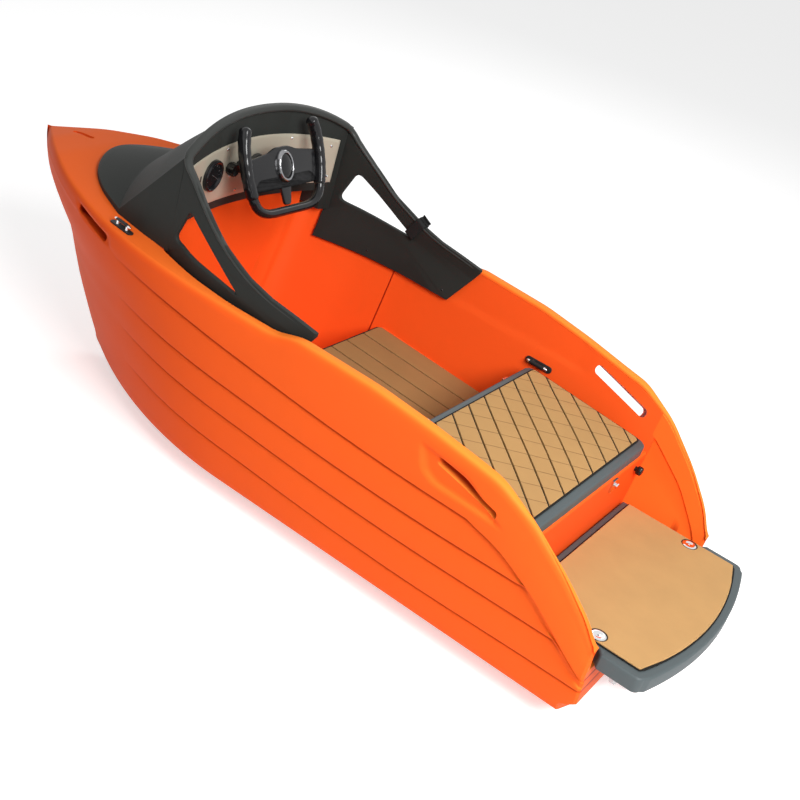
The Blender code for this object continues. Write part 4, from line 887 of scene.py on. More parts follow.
@dataclass
class Hull:
    """The orange hull: lapped planks, raked prow, round gunwale and tail fins."""

    aft_spacing: float = 0.0065
    bow_stations: int = 120
    pad_rows: tuple[float, ...] = (0.0, 0.5, 1.0)
    lip: float = 0.0036
    groove: float = 0.0036
    shadow: float = 0.0125
    swell: float = 0.0012
    round_height: float = 0.034
    round_inset: float = 0.018
    lip_radius: float = 0.010
    belt: float = 0.0105
    prow_slot: tuple[float, float, float] = (0.084, 0.016, 0.0072)
    prow_slot_x: float = 1.066
    prow_slot_z: tuple[float, float] = (0.622, 0.680)
    bay: tuple[float, float] = (-0.775, -0.040)
    bay_half: float = 0.200
    bay_z: float = 0.048
    stern_floor_z: float = 0.2680
    well_floor_z: float = 0.1890
    seat_x: float = -0.790
    well_x: float = 0.472
    jet_z: float = 0.118
    duct_half: float = 0.0523
    tunnel_radius: float = 0.0678
    bore_radius: float = 0.0145

    def build(self) -> None:
        """Makes the hull, cuts what goes through it and hands it over."""
        made = to_object(self.skin(), "hull_shell")
        tools = [handle.cutter(side) for handle in HANDLES for side in (1, -1)]
        slot = rounded(*self.prow_slot, 8)
        tools.append(slab(slot, *self.prow_slot_z, Matrix.Translation((self.prow_slot_x, 0.0, 0.0))))
        carve(made, tools + self.jet_tools())
        # Painted shade under the laps and in the grab slots, kept as the crease attribute.
        mark(made, "crease", self.crease(coordinates(made)))
        hand_over(made, Body.BOAT, HULL_ORANGE, ("hull",))

    def stations(self) -> tuple[Array, Array]:
        """Positions aft of the full beam and shares of the way to the stem ahead of it.

        Where the well's floor steps, two stations share one position.
        """
        ends = (LINES.transom_x, self.seat_x, self.bay[0], self.bay[1], LINES.full_beam_x)
        aft = []
        for start, stop in zip(ends, ends[1:]):
            count = max(int((stop - start) / self.aft_spacing), 3)
            aft.append(np.linspace(start, stop, count))
        aft[-1] = aft[-1][:-1]
        aft = np.concatenate(aft)
        share = np.linspace(0.0, 1.0, self.bow_stations)
        share = share - 0.012 * np.sin(2 * np.pi * share)
        return aft, share

    def skin(self) -> Shell:
        """The whole closed skin, as rings of points from stern to stem."""
        aft, share = self.stations()
        count = len(aft) + len(share)
        bow = np.concatenate([np.zeros(len(aft)), share])
        base = np.concatenate([aft, np.full(len(share), LINES.full_beam_x)])
        end = share_of(base - LINES.transom_x, 0.007, 0.0) * (bow == 0.0)
        self.inset = 0.006 * (1.0 - np.sqrt(1.0 - np.minimum(end, 1.0) ** 2))

        def along(z: Array) -> Array:
            """Position of each station at a height, with the transom's foot set forward."""
            foot = share_of(z - LINES.transom_step[1], 0.012, -0.012)
            near = np.maximum(1.0 - (base - LINES.transom_x) / 0.08, 0.0)
            x = base + LINES.transom_step[0] * near * foot
            return np.where(bow > 0.0, base + bow * (LINES.stem_x(z) - base), x)

        rows: list[Array] = []

        def side(z: Array, out: Array | float = 0.0) -> None:
            """Adds a row of the planking at a height, proud by a distance."""
            x = along(z)
            y = LINES.half(x, z) + out - self.inset
            for handle in HANDLES:
                y = y - handle.dish(x, z)
            rows.append(np.stack([x, np.maximum(y, 0.0006) * (bow < 1.0), z], axis=-1))

        keel = 0.030 * bow ** 6
        pad = LINES.keel_pad * (1.0 - bow ** 2.2)
        for part in self.pad_rows:
            rows.append(np.stack([along(keel), pad * part, keel], axis=-1))
        chine = LINES.chine[1] + (0.060 - LINES.chine[1]) * bow ** 2
        for part in (0.25, 0.5, 0.75, 0.94):
            z = keel + (chine - keel) * part
            x = along(z)
            y = pad + (LINES.half(x, chine) - pad) * part - self.inset
            rows.append(np.stack([x, y * (bow < 1.0), z], axis=-1))
        bottom = chine + 0.006
        top = LINES.gunwale_z(along(np.full(count, 0.62))) - 0.4 * self.inset
        side(bottom)
        out = np.zeros(count)
        for number in range(len(LINES.laps)):
            z = np.full(count, LINES.laps[number][2][1])
            for _ in range(3):
                z = LINES.lap_z(number, along(z))
            reach = np.minimum(self.shadow, 0.8 * (z - bottom))
            self.plank(side, bottom, z - reach, out, 6)
            out = LINES.lap_out(number, along(z))
            share_out = np.minimum(out / LINES.lap_step, 1.0)
            side(z - reach, 0.0)
            for part, deep in ((0.80, 0.35), (0.35, 1.0), (0.08, 1.0)):
                side(z - reach * part, -self.groove * deep * share_out)
            side(z, out - self.swell * share_out)
            side(z + 0.3 * self.lip, out - 0.0002 * share_out)
            bottom = z + self.lip
            side(bottom, out)
        shoulder = top - self.round_height
        self.plank(side, bottom, shoulder, out, 20)
        for angle in np.radians(np.linspace(12.0, 90.0, 8)):
            z = top - self.round_height * (1.0 - math.sin(angle))
            side(z, -self.round_inset * (1.0 - math.cos(angle)))
        rows.extend(self.inside(along, top, base, bow))
        port = np.stack(rows, axis=1)
        rings = np.concatenate([port, port[:, ::-1] * (1.0, -1.0, 1.0)], axis=1)
        made = loft(rings, caps=False)
        flat = [Vector((y, z, 0.0)) for _, y, z in rings[0].tolist()]
        return Shell(made.points, made.faces + [tuple(t) for t in tessellate_polygon([flat])])

    def crease(self, points: Array) -> Array:
        """How much painted shade each point gets: one just under a lap, easing off below it and at its
        ends, and more the deeper a point lies in a grab slot.
        """
        x, y, z = points.T
        outer = np.abs(y) > LINES.half(x, z) - 0.016
        made = np.zeros(len(x))
        # Painted shade just under each lap.
        for number in range(len(LINES.laps)):
            line = LINES.lap_z(number, x)
            fade = share_of(LINES.lap_out(number, x), 0.0, LINES.lap_step)
            below = (line - z) / self.shadow
            dark = share_of(below, 1.0, 0.45) * (below > -0.08)
            made = np.maximum(made, dark * fade)
        made = made * outer
        # Painted shade inside the grab slots.
        for handle in HANDLES:
            made = np.maximum(made, handle.within(x, y, z))
        return made

    def plank(self, side: Callable, low: Array, high: Array, out: Array, count: int) -> None:
        """Adds the rows of a plank: it stands out less and less upwards, with a faint swell."""
        for part in np.linspace(0.0, 1.0, count + 2)[1:-1]:
            side(low + (high - low) * part,
                 out * (1.0 - part) + self.swell * math.sin(math.pi * part))

    def inside(self, along: Callable, top: Array, base: Array, bow: Array) -> list[Array]:
        """Rows from the gunwale's top over its inner edge to the floor and the middle line.

        Ahead of the well all of them lie on the deck.
        """
        x = along(top)
        open_well = x <= self.well_x
        fin = np.arange(len(base)) <= np.flatnonzero(base <= self.seat_x)[-1] - 1
        bay = np.zeros(len(base), dtype=bool)
        first = np.flatnonzero(np.isclose(base, self.bay[0]))[-1]
        last = np.flatnonzero(np.isclose(base, self.bay[1]))[0]
        bay[first:last + 1] = True
        belt = np.where(fin, 0.0, self.belt)
        floor = np.where(fin, self.stern_floor_z, self.well_floor_z)
        deep = np.where(bay, self.bay_z, floor)
        rows = []
        edge = LINES.well_half(x, top) + self.inset
        outer = np.maximum(LINES.half(x, top) - self.round_inset - self.inset, 0.0005)

        def add(y: Array | float, z: Array, share: float) -> None:
            """Adds a row, or its stand-in on the deck ahead of the well."""
            flat = outer * (1.0 - share) * (bow < 1.0)
            rows.append(np.stack([x, np.where(open_well, y, flat), np.where(open_well, z, top)],
                                 axis=-1))

        radius = self.lip_radius
        for number, angle in enumerate(np.radians((0.0, 22.5, 45.0, 67.5, 90.0))):
            add(edge + radius * (1.0 - math.sin(angle)), top - radius * (1.0 - math.cos(angle)),
                0.05 + 0.05 * number)
        low_edge = top - radius - 0.0005
        add(LINES.well_half(x, low_edge) + belt + self.inset, low_edge, 0.32)
        ridge = np.minimum(LINES.read(LINES.ridge, x, 0.02), top - 0.045)
        proud = 0.005 * share_of(x, -0.70, -0.76)
        for number, part in enumerate((0.33, 0.66, 1.0)):
            z = low_edge + (ridge - low_edge) * part
            add(LINES.well_half(x, z) + belt + self.inset, z, 0.36 + 0.04 * number)
        step = ((0.002, 0.3), (0.005, 0.8), (0.009, 1.0))
        for number, (drop, share) in enumerate(step):
            z = ridge - drop
            add(LINES.well_half(x, z) + belt + self.inset + proud * share, z, 0.48 + 0.04 * number)
        start = ridge - step[-1][0]
        for number, part in enumerate((0.33, 0.66, 1.0)):
            z = start + (np.minimum(floor, start) - start) * part
            fade = proud * (1.0 - 0.5 * part)
            add(LINES.well_half(x, z) + belt + self.inset + fade, z, 0.62 + 0.04 * number)
        add(self.bay_half, np.minimum(floor, start), 0.80)
        add(self.bay_half, deep, 0.90)
        add(0.0, deep, 1.0)
        return rows

    def jet_tools(self) -> list[Shell]:
        """Solids of the intake duct, the pump tunnel and the shaft bore."""
        duct = [(-0.765, 0.010), (-0.765, -0.01), (-0.925, -0.01), (-0.925, 0.088),
                (-0.910, 0.168), (-0.865, 0.168), (-0.800, 0.088)]
        stand = Matrix.Rotation(math.radians(90.0), 4, "X")
        across = (Matrix.Translation((0.0, 0.0, self.jet_z))
                  @ Matrix.Rotation(math.radians(90.0), 4, "Y"))
        tunnel = ellipse(self.tunnel_radius, self.tunnel_radius, 64)
        bore = ellipse(self.bore_radius, self.bore_radius, 24)
        return [slab(duct, -self.duct_half, self.duct_half, stand),
                slab(tunnel, -1.20, -0.898, across), slab(bore, -0.90, -0.765, across)]


@dataclass
class Liner:
    """The cockpit's inner walls and floors with the seat box, step box and hatch."""

    corner: float = 0.075
    seam_x: float = 0.123
    ledge_z: float = 0.578
    ledge: float = 0.003
    wall: float = 0.0085
    floor_thickness: float = 0.008
    upstand_half: float = 0.296
    upstand_z: float = 0.7492
    front_x: float = 0.470
    rear_x: float = -0.7995
    hatch: tuple[float, float, float] = (0.300, 0.380, 0.030)
    hatch_x: float = -0.595
    seam_half: float = 0.0021

    def build(self) -> None:
        """Makes the walls and the floors, and cuts the stern handles and the hatch."""
        made = to_object(self.walls(), "liner_walls")
        carve(made, [STERN_HANDLE.cutter(side) for side in (1, -1)])
        points = coordinates(made)
        seam = np.abs(points[:, 0] - self.seam_x) < self.seam_half
        mark(made, "crease", 1.0 * (seam & (np.abs(points[:, 1]) > 0.2)))
        hand_over(made, Body.BOAT, LINER_ORANGE, ("cockpit_liner",))
        floors = to_object(self.floors(), "liner_floors")
        hatch = Matrix.Translation((self.hatch_x, 0.0, 0.0))
        carve(floors, [slab(rounded(*self.hatch), 0.43, 0.56, hatch)])
        hand_over(floors, Body.BOAT, LINER_ORANGE, ("cockpit_liner",))

    def walls(self) -> Shell:
        """The upright skin: one path round the well at each height, its corners averaged round.

        The seam is a narrow groove across the path, on both sides.
        """
        seam = np.array([-0.0035, -0.0012, -0.0009, 0.0009, 0.0012, 0.0035]) + self.seam_x
        side = np.unique(np.concatenate([np.linspace(self.rear_x, self.front_x, 180), seam]))
        share = np.linspace(1.0, -1.0, 90)[1:-1]
        x = np.concatenate([side, np.full(len(share), self.front_x), side[::-1]])
        sign = np.concatenate([np.ones(len(side)), share, -np.ones(len(side))])
        level = np.linspace(0.0, 1.0, 48)[:, None]
        top = LINES.gunwale_z(x) - 0.0110
        away = np.abs(sign) * LINES.well_half(x, 0.66) - self.upstand_half
        inner = share_of(away, 0.004, -0.004) * (x > self.front_x - 0.005)
        top = top + (self.upstand_z - top) * inner
        low = np.where(x < -0.395, 0.272, 0.192)
        z = low + (top - low) * level
        grid = np.stack([np.broadcast_to(x, z.shape), LINES.well_half(x, z) * sign, z], axis=-1)
        along = share_of(np.minimum(-0.03 - x, x + 0.56), 0.0, 0.05)
        above = share_of(z - self.ledge_z, -0.004, 0.004)
        grid[:, :, 1] += self.ledge * above * along * sign
        smooth = self.round_plan(grid)
        groove = 0.0028 * ((np.abs(x - self.seam_x) < 0.001) & (np.abs(sign) == 1.0))
        out = self.plan_normals(smooth)
        face = smooth + out * groove[None, :, None]
        back = smooth + out * self.wall
        return between(face, back)

    def round_plan(self, grid: Array) -> Array:
        """Averages each path over a window that is the corner's size near the front corners."""
        step = np.linalg.norm(np.diff(grid[:, :, :2], axis=1), axis=-1)
        run = np.concatenate([np.zeros((len(grid), 1)), np.cumsum(step, axis=1)], axis=1)
        near = share_of(grid[:, :, 0] - self.front_x, -3 * self.corner, -2 * self.corner)
        made = np.zeros_like(grid)
        offsets = np.linspace(-self.corner, self.corner, 17)
        for row in range(len(grid)):
            at = run[row][:, None] + offsets * near[row][:, None]
            for axis in (0, 1):
                made[row, :, axis] = np.interp(at, run[row], grid[row, :, axis]).mean(-1)
        made[:, :, 2] = grid[:, :, 2]
        return made

    @staticmethod
    def plan_normals(grid: Array) -> Array:
        """Unit vectors in plan that point out of the well."""
        ahead = np.gradient(grid, axis=1)
        out = np.stack([-ahead[:, :, 1], ahead[:, :, 0], np.zeros(ahead.shape[:2])], axis=-1)
        return out / np.maximum(np.linalg.norm(out, axis=-1, keepdims=True), 1e-9)

    def floors(self) -> Shell:
        """Stern deck, seat box, step box and footwell floor: one side profile carried across."""
        corners = np.array([(-1.0030, 0.0, 0.2785), (-0.800, 0.0, 0.2785), (-0.800, 0.0, 0.466),
                            (-0.395, 0.0, 0.500), (-0.395, 0.0, 0.373), (0.090, 0.0, 0.405),
                            (0.090, 0.0, 0.200), (0.4695, 0.0, 0.200)])
        path = round_path(corners, 0.009, 0.003)
        ahead = np.gradient(path, axis=0)
        up = np.stack([-ahead[:, 2], np.zeros(len(path)), ahead[:, 0]], axis=-1)
        up /= np.linalg.norm(up, axis=1, keepdims=True)
        share = np.linspace(-1.0, 1.0, 25)
        half = LINES.well_half(path[:, 0], path[:, 2]) - 0.0004
        half = np.where(path[:, 0] < self.rear_x - 0.001, half - 0.001, half)
        half = np.where(path[:, 0] > self.front_x - self.corner, half - 0.02, half)
        top = path[:, None, :] + np.zeros((1, len(share), 1))
        top[:, :, 1] = half[:, None] * share[None, :]
        return between(top, top - up[:, None, :] * self.floor_thickness)


@dataclass
class Cowl:
    """The dark cowl: foredeck cover, hood with its rim, and the window arms."""

    sections: tuple = ((0.922, 0.920, 0.0842, 0.672, 0.672), (0.912, 0.858, 0.5268, 0.684, 0.673),
                       (0.850, 0.740, 0.7409, 0.704, 0.674), (0.708, 0.590, 0.8196, 0.748, 0.676),
                       (0.570, 0.478, 0.8186, 0.873, 0.800), (0.433, 0.372, 0.8190, 0.998, 0.922))
    arm: tuple = ((-0.146, 0.690, 0.699), (-0.076, 0.572, 0.709), (0.000, 0.572, 0.718),
                  (0.076, 0.572, 0.737), (0.183, 0.572, 0.783), (0.270, 0.572, 0.843),
                  (0.372, 0.572, 0.920))
    window: tuple = ((0.318, 0.804), (0.357, 0.705), (0.0885, 0.681))
    window_radius: float = 0.0085
    window_centre: tuple[float, float] = (0.262, 0.728)
    plate: float = 0.014
    plate_radius: float = 0.0055
    screws: tuple = ((0.220, 0.592), (-0.052, 0.592))

    def edge_half(self, section: int) -> float:
        """Distance of the edge from the middle at a numbered section."""
        return float(LINES.half(self.sections[section][1], LINES.deck_z)) * self.sections[section][2]

    def point(self, section: Array, share: Array) -> Array:
        """A point of the upper face: section as a number between tables, share of the edge.

        The middle falls to the edge as a power of the share, and goes aft with its square.
        """
        order = np.arange(len(self.sections))
        halves = np.array([self.edge_half(i) for i in order])
        table = np.array(self.sections)
        soft = share_of(np.minimum(section, 3.0 - section), 0.0, 0.5) * 0.45

        def at(column: Array) -> Array:
            """A column of the table, its corners rounded ahead of the crease."""
            reach = np.linspace(-1.0, 1.0, 9)
            return np.interp(section[..., None] + soft[..., None] * reach, order, column).mean(-1)

        power = 1.5 + 0.9 * share_of(section, 3.0, 4.0)
        x = at(table[:, 0]) + (at(table[:, 1]) - at(table[:, 0])) * share ** 2
        z = at(table[:, 3]) + (at(table[:, 4]) - at(table[:, 3])) * share ** power
        return np.stack([x, at(halves) * share, z], axis=-1)

    def arm_y(self, x: Array, z: Array) -> Array:
        """Outer face of an arm: it leans in with height, and runs flush into the hood's cheek."""
        lean = np.interp(x, (0.08, 0.372), (0.10, 0.0))
        wall = LINES.well_half(x, np.minimum(z, LINES.deck_z)) - 0.0025
        wall = wall - lean * np.maximum(z - LINES.deck_z, 0.0)
        rear, ahead = self.sections[5][1], self.sections[4][1]
        slope = (self.edge_half(4) - self.edge_half(5)) / (ahead - rear)
        cheek = (self.edge_half(5) + 0.0003 + slope * (x - rear)
                 - 0.10 * np.maximum(x - rear, 0.0))
        return wall + (cheek - wall) * ease(share_of(x, 0.290, 0.365) * share_of(z, 0.650, 0.662))

    def build(self) -> None:
        """Makes the hood, the arms, their rim, the fascia and the screws."""
        hood = to_object(self.hood(), "cowl_hood")
        carve(hood, [block((0.300, -0.300, 0.560), (0.4803, 0.300, 0.724))])
        soften(hood, 0.003, 2, 50.0)
        hand_over(hood, Body.BOAT, COWL_GREY, ("cowl",))
        for side, word in SIDES:
            arm = self.arm_shell()
            made = to_object(arm if side > 0 else arm.mirrored(), f"cowl_arm_{word}")
            hand_over(made, Body.BOAT, COWL_GREY, ("cowl",))
            screws = to_object(self.screw_shell(side), f"cowl_screws_{word}")
            hand_over(screws, Body.BOAT, GLOSS_BLACK)
        # The rim's lighter finish paints a highlight along the edge.
        rim = to_object(self.rim(), "cowl_rim")
        hand_over(rim, Body.BOAT, COWL_RIM_HIGHLIGHT, ("cowl",))

    def hood(self) -> Shell:
        """The cover and hood: the upper face, turned down a cheek to the deck, as a thick shell.

        The rear ends in a fascia down to the dash, which the dash's sheet stands against.
        """
        section = np.concatenate([np.linspace(0.0, 2.96, 44), np.linspace(3.0, 5.0, 36)])
        share = np.concatenate([np.linspace(0.0, 0.86, 26), np.linspace(0.88, 1.0, 10)])
        upper = self.point(*np.broadcast_arrays(section[:, None], share))
        drop = np.linspace(0.04, 1.0, 10)
        edge = upper[:, -1:, :]
        cheek = np.repeat(edge, len(drop), axis=1)
        cheek[:, :, 2] = edge[:, :, 2] + (0.6625 - edge[:, :, 2]) * drop
        half = np.concatenate([upper, cheek], axis=1)
        full = np.concatenate([half[:, :0:-1] * (1.0, -1.0, 1.0), half], axis=1)
        low = full.copy()
        low[:, :, 2] = 0.6623
        return between(full, low)

    def cross_rays(self, polygon: Array, angle: Array) -> Array:
        """Nearest crossing of rays from the window's middle with a closed polygon."""
        centre = np.array(self.window_centre)
        ray = np.stack([np.cos(angle), np.sin(angle)], axis=-1)
        run = np.roll(polygon, -1, axis=0) - polygon
        gap = polygon - centre
        cross = ray[:, None, 0] * run[None, :, 1] - ray[:, None, 1] * run[None, :, 0]
        cross = np.where(np.abs(cross) < 1e-12, 1e-12, cross)
        reach = (gap[None, :, 0] * run[None, :, 1] - gap[None, :, 1] * run[None, :, 0]) / cross
        part = (gap[None, :, 0] * ray[:, None, 1] - gap[None, :, 1] * ray[:, None, 0]) / cross
        good = (reach > 0) & (part >= -1e-9) & (part <= 1 + 1e-9)
        nearest = np.where(good, reach, np.inf).min(axis=1)
        return centre + ray * nearest[:, None]

    def window_outline(self) -> Array:
        """The window's triangle with round corners, as a dense polygon."""
        corners = np.array([(x, 0.0, z) for x, z in self.window])
        path = round_path(corners, self.window_radius * 2.6, 0.0015, ring=True)
        return path[:, (0, 2)]

    def arm_shell(self) -> Shell:
        """The port arm as a bar round its window.

        At each angle round the window the bar's section is a flat oblong with round edges, from
        the window's outline to the plate's, and its inner edge swells a little into a rim.
        """
        window = self.window_outline()
        polygon = np.array([(0.392, 0.572), (-0.076, 0.572), (-0.146, 0.690)]
                           + [(x, high) for x, _, high in self.arm] + [(0.392, 0.893)])
        centre = np.array(self.window_centre)
        marks = np.vstack([polygon, window[::6]]) - centre
        angle = np.unique(np.round(np.concatenate([
            np.linspace(-math.pi, math.pi, 220, endpoint=False),
            np.arctan2(marks[:, 1], marks[:, 0])]), 5))
        inner = self.cross_rays(window, angle)
        outer = self.cross_rays(polygon, angle)
        width = np.linalg.norm(outer - inner, axis=1)
        ahead = (outer - inner) / width[:, None]
        half = self.plate / 2
        turn = np.radians(np.linspace(-90.0, 90.0, 7))
        radius = self.plate_radius
        edge_in = np.stack([radius - radius * np.cos(turn), -(half - radius) * np.sign(turn)
                            - radius * np.sin(turn)], axis=-1)
        edge_out = np.stack([-radius + radius * np.cos(turn), (half - radius) * np.sign(turn)
                             + radius * np.sin(turn)], axis=-1)
        near = radius + 0.004
        across = [inner + ahead * (near + (width - radius - near) * part)[:, None]
                  for part in (0.0, 0.5, 1.0)]
        rows = [(inner + ahead * away, deep) for away, deep in edge_in]
        rows += [(place, -half) for place in across]
        rows += [(outer + ahead * away, deep) for away, deep in edge_out]
        rows += [(place, half) for place in across[::-1]]
        rings = []
        for place, deep in rows:
            y = self.arm_y(place[:, 0], place[:, 1]) - half + deep
            rings.append(np.column_stack([place[:, 0], y, place[:, 1]]))
        return loft(np.stack(rings, axis=1), ring=True)

    def rim(self) -> Shell:
        """The thick lip round the hood's rear edge and down the arms' upper edges."""
        share = np.linspace(0.0, 1.0, 40)
        arch = self.point(np.full(40, 5.0), share)
        table = np.array(self.arm)[::-1]
        x = np.linspace(0.366, -0.140, 60)
        z = LINES.read(tuple(map(tuple, table[::-1][:, (0, 2)].tolist())), x, 0.02)
        arm = np.column_stack([x, self.arm_y(x, z) - self.plate / 2, z])
        half = round_path(np.vstack([arch, arm]), 0.03, 0.006)
        half[:, 2] -= 0.0085
        path = np.vstack([half[:0:-1] * (1.0, -1.0, 1.0), half])
        run = np.linspace(-1.0, 1.0, len(path))
        size = np.interp(np.abs(run), (0.0, 0.35, 0.5, 0.97, 1.0), (1.0, 1.0, 0.80, 0.62, 0.3))
        return sweep(path, ellipse(0.0125, 0.0085, 20), size, up=(-0.6, 0.0, 0.8))

    def screw_shell(self, side: int) -> Shell:
        """Small round screw heads on the inner face of an arm's lower plate."""
        profile = [(0.0005, 0.0012), (0.0022, 0.0010), (0.0032, 0.0), (0.0032, -0.001),
                   (0.0005, -0.001)]
        turn = Matrix.Rotation(math.radians(90.0 * side), 4, "X")
        heads = []
        for x, z in self.screws:
            y = float(self.arm_y(np.array(x), np.array(z))) - self.plate
            heads.append(turned(profile, Matrix.Translation((x, side * y, z)) @ turn, 16))
        return sum(heads[1:], heads[0])


# Fittings


@dataclass
class Strap:
    """The webbing loop round the starboard arm, with its folded end."""

    at: tuple[float, float] = (0.0960, 0.7170)
    turn: float = math.radians(-28.2)
    half: tuple[float, float] = (0.0142, 0.0315)
    width: float = 0.0330
    thickness: float = 0.0030

    def build(self) -> None:
        """Makes the loop and its tail as one piece."""
        x, z = self.at
        y = -(float(Cowl().arm_y(np.array(x), np.array(z))) - 0.007)
        place = Matrix.Translation((x, y, z)) @ Matrix.Rotation(self.turn, 4, "Y")
        section = np.array(rounded(self.thickness, self.width, 0.0013, 4))
        a, b = self.half
        corners = np.array([(0.0, a, b), (0.0, -a, b), (0.0, -a, -b), (0.0, a, -b)])
        loop = sweep(round_path(corners, 0.006, 0.0018, ring=True), section, up=(1.0, 0.0, 0.0),
                     ring=True)
        tail = np.array([(0.0, 0.004, b + 0.0026), (0.0, -0.009, b + 0.0030),
                         (0.0, -0.0125, b + 0.0090), (0.0, -0.0050, b + 0.0120)])
        end = sweep(round_path(tail, 0.003, 0.0012), section, up=(1.0, 0.0, 0.0))
        made = to_object((loop + end).moved(place), "strap_loop")
        hand_over(made, Body.BOAT, WEBBING, ("arm_band",))


@dataclass
class Dash:
    """The bent metal panel with its screws, gauge and two switch knobs."""

    half: float = 0.3175
    low: float = 0.750
    high: float = 0.912
    drop: float = 0.030
    sheet: float = 0.003
    gauge: tuple[float, float, float] = (0.193, 0.833, 0.044)
    knobs: tuple = (("power", 0.112, 0.838, 0.0205), ("lights", 0.068, 0.838, 0.0205))
    screws: tuple = ((0.300, 0.770), (0.290, 0.864), (0.135, 0.894), (0.062, 0.765), (-0.062, 0.765),
                     (-0.135, 0.894), (-0.290, 0.864), (-0.300, 0.770))

    def face_x(self, y: Array) -> Array:
        """Front face of the panel: it goes aft with the square of the distance from the middle."""
        return 0.433 - 0.061 * (y / Cowl().edge_half(5)) ** 2 - 0.0006

    def build(self) -> None:
        """Makes the panel and what is on it."""
        y = np.linspace(-self.half, self.half, 90)[:, None]
        level = np.linspace(0.0, 1.0, 14)[None, :]
        top = self.high - self.drop * (y / self.half) ** 2
        z = self.low + (top - self.low) * level
        x = self.face_x(y) + 0.0 * z
        front = np.stack([x, y + 0.0 * z, z], axis=-1)
        panel = to_object(between(front, front - (self.sheet, 0.0, 0.0)), "dash_sheet")
        soften(panel, 0.0007, 2, 50.0)
        hand_over(panel, Body.BOAT, PANEL_STEEL, ("dash_panel",))
        heads = [turned([(0.0008, 0.0016), (0.0032, 0.0014), (0.0044, 0.0), (0.0008, 0.0)],
                        self.place(y, z), 20) for y, z in self.screws]
        heads.append(turned([(0.0004, 0.0016), (0.0018, 0.0012), (0.0024, 0.0), (0.0004, 0.0)],
                            self.place(0.102, 0.811), 16))
        hand_over(to_object(sum(heads[1:], heads[0]), "dash_screws"), Body.BOAT, CHROME)
        slot = slab(rounded(0.018, 0.006, 0.0028), 0.0, 0.0009, self.place(0.2485, 0.834))
        hand_over(to_object(slot, "dash_slot"), Body.BOAT, SEAL_BLACK)
        self.instruments()

    def place(self, y: float, z: float) -> Matrix:
        """Frame on the panel's rear face, local Z to the driver."""
        x = float(self.face_x(np.array(y))) - self.sheet
        slope = float(self.face_x(np.array(y - 0.01)) - self.face_x(np.array(y + 0.01))) / 0.02
        turn = Matrix.Rotation(math.atan(slope), 4, "Z") @ Matrix.Rotation(math.radians(-90.0), 4, "Y")
        return Matrix.Translation((x, y, z)) @ turn

    def instruments(self) -> None:
        """The gauge with its bezel, dished dial and marks, and the fluted knobs."""
        y, z, r = self.gauge
        place = self.place(y, z)
        bezel = [(0.0005, 0.0045), (r * 0.76, 0.0050), (r * 0.80, 0.0105), (r * 0.88, 0.0120),
                 (r * 0.97, 0.0100), (r, 0.0060), (r, 0.0008), (0.0005, 0.0008)]
        made = to_object(turned(bezel, place, 72), "speed_dial")
        hand_over(made, Body.BOAT, GLOSS_BLACK, ("speed_gauge",))
        marks = []
        for number in range(11):
            turn = place @ Matrix.Rotation(math.radians(-120.0 + 24.0 * number), 4, "Z")
            long = 0.006 if number % 2 == 0 else 0.0035
            marks.append(block((r * 0.72 - long, -0.0006, 0.0046), (r * 0.72, 0.0006, 0.0056), turn))
        needle = place @ Matrix.Rotation(math.radians(-120.0), 4, "Z")
        marks.append(block((-0.006, -0.0008, 0.0046), (r * 0.62, 0.0008, 0.0066), needle))
        hand_over(to_object(sum(marks[1:], marks[0]), "speed_marks"), Body.BOAT, DIAL_GREY)
        for name, y, z, r in self.knobs:
            profile = [(0.0005, 0.0225), (r * 0.60, 0.0235), (r * 0.78, 0.0240), (r * 0.90, 0.0225),
                       (r * 0.95, 0.0070), (r * 0.84, 0.0050), (r * 0.84, 0.0008), (0.0005, 0.0008)]
            knob = turned(profile, self.place(y, z), 96, 12, 0.07)
            hand_over(to_object(knob, f"{name}_switch"), Body.BOAT, GLOSS_BLACK, (f"{name}_knob",))


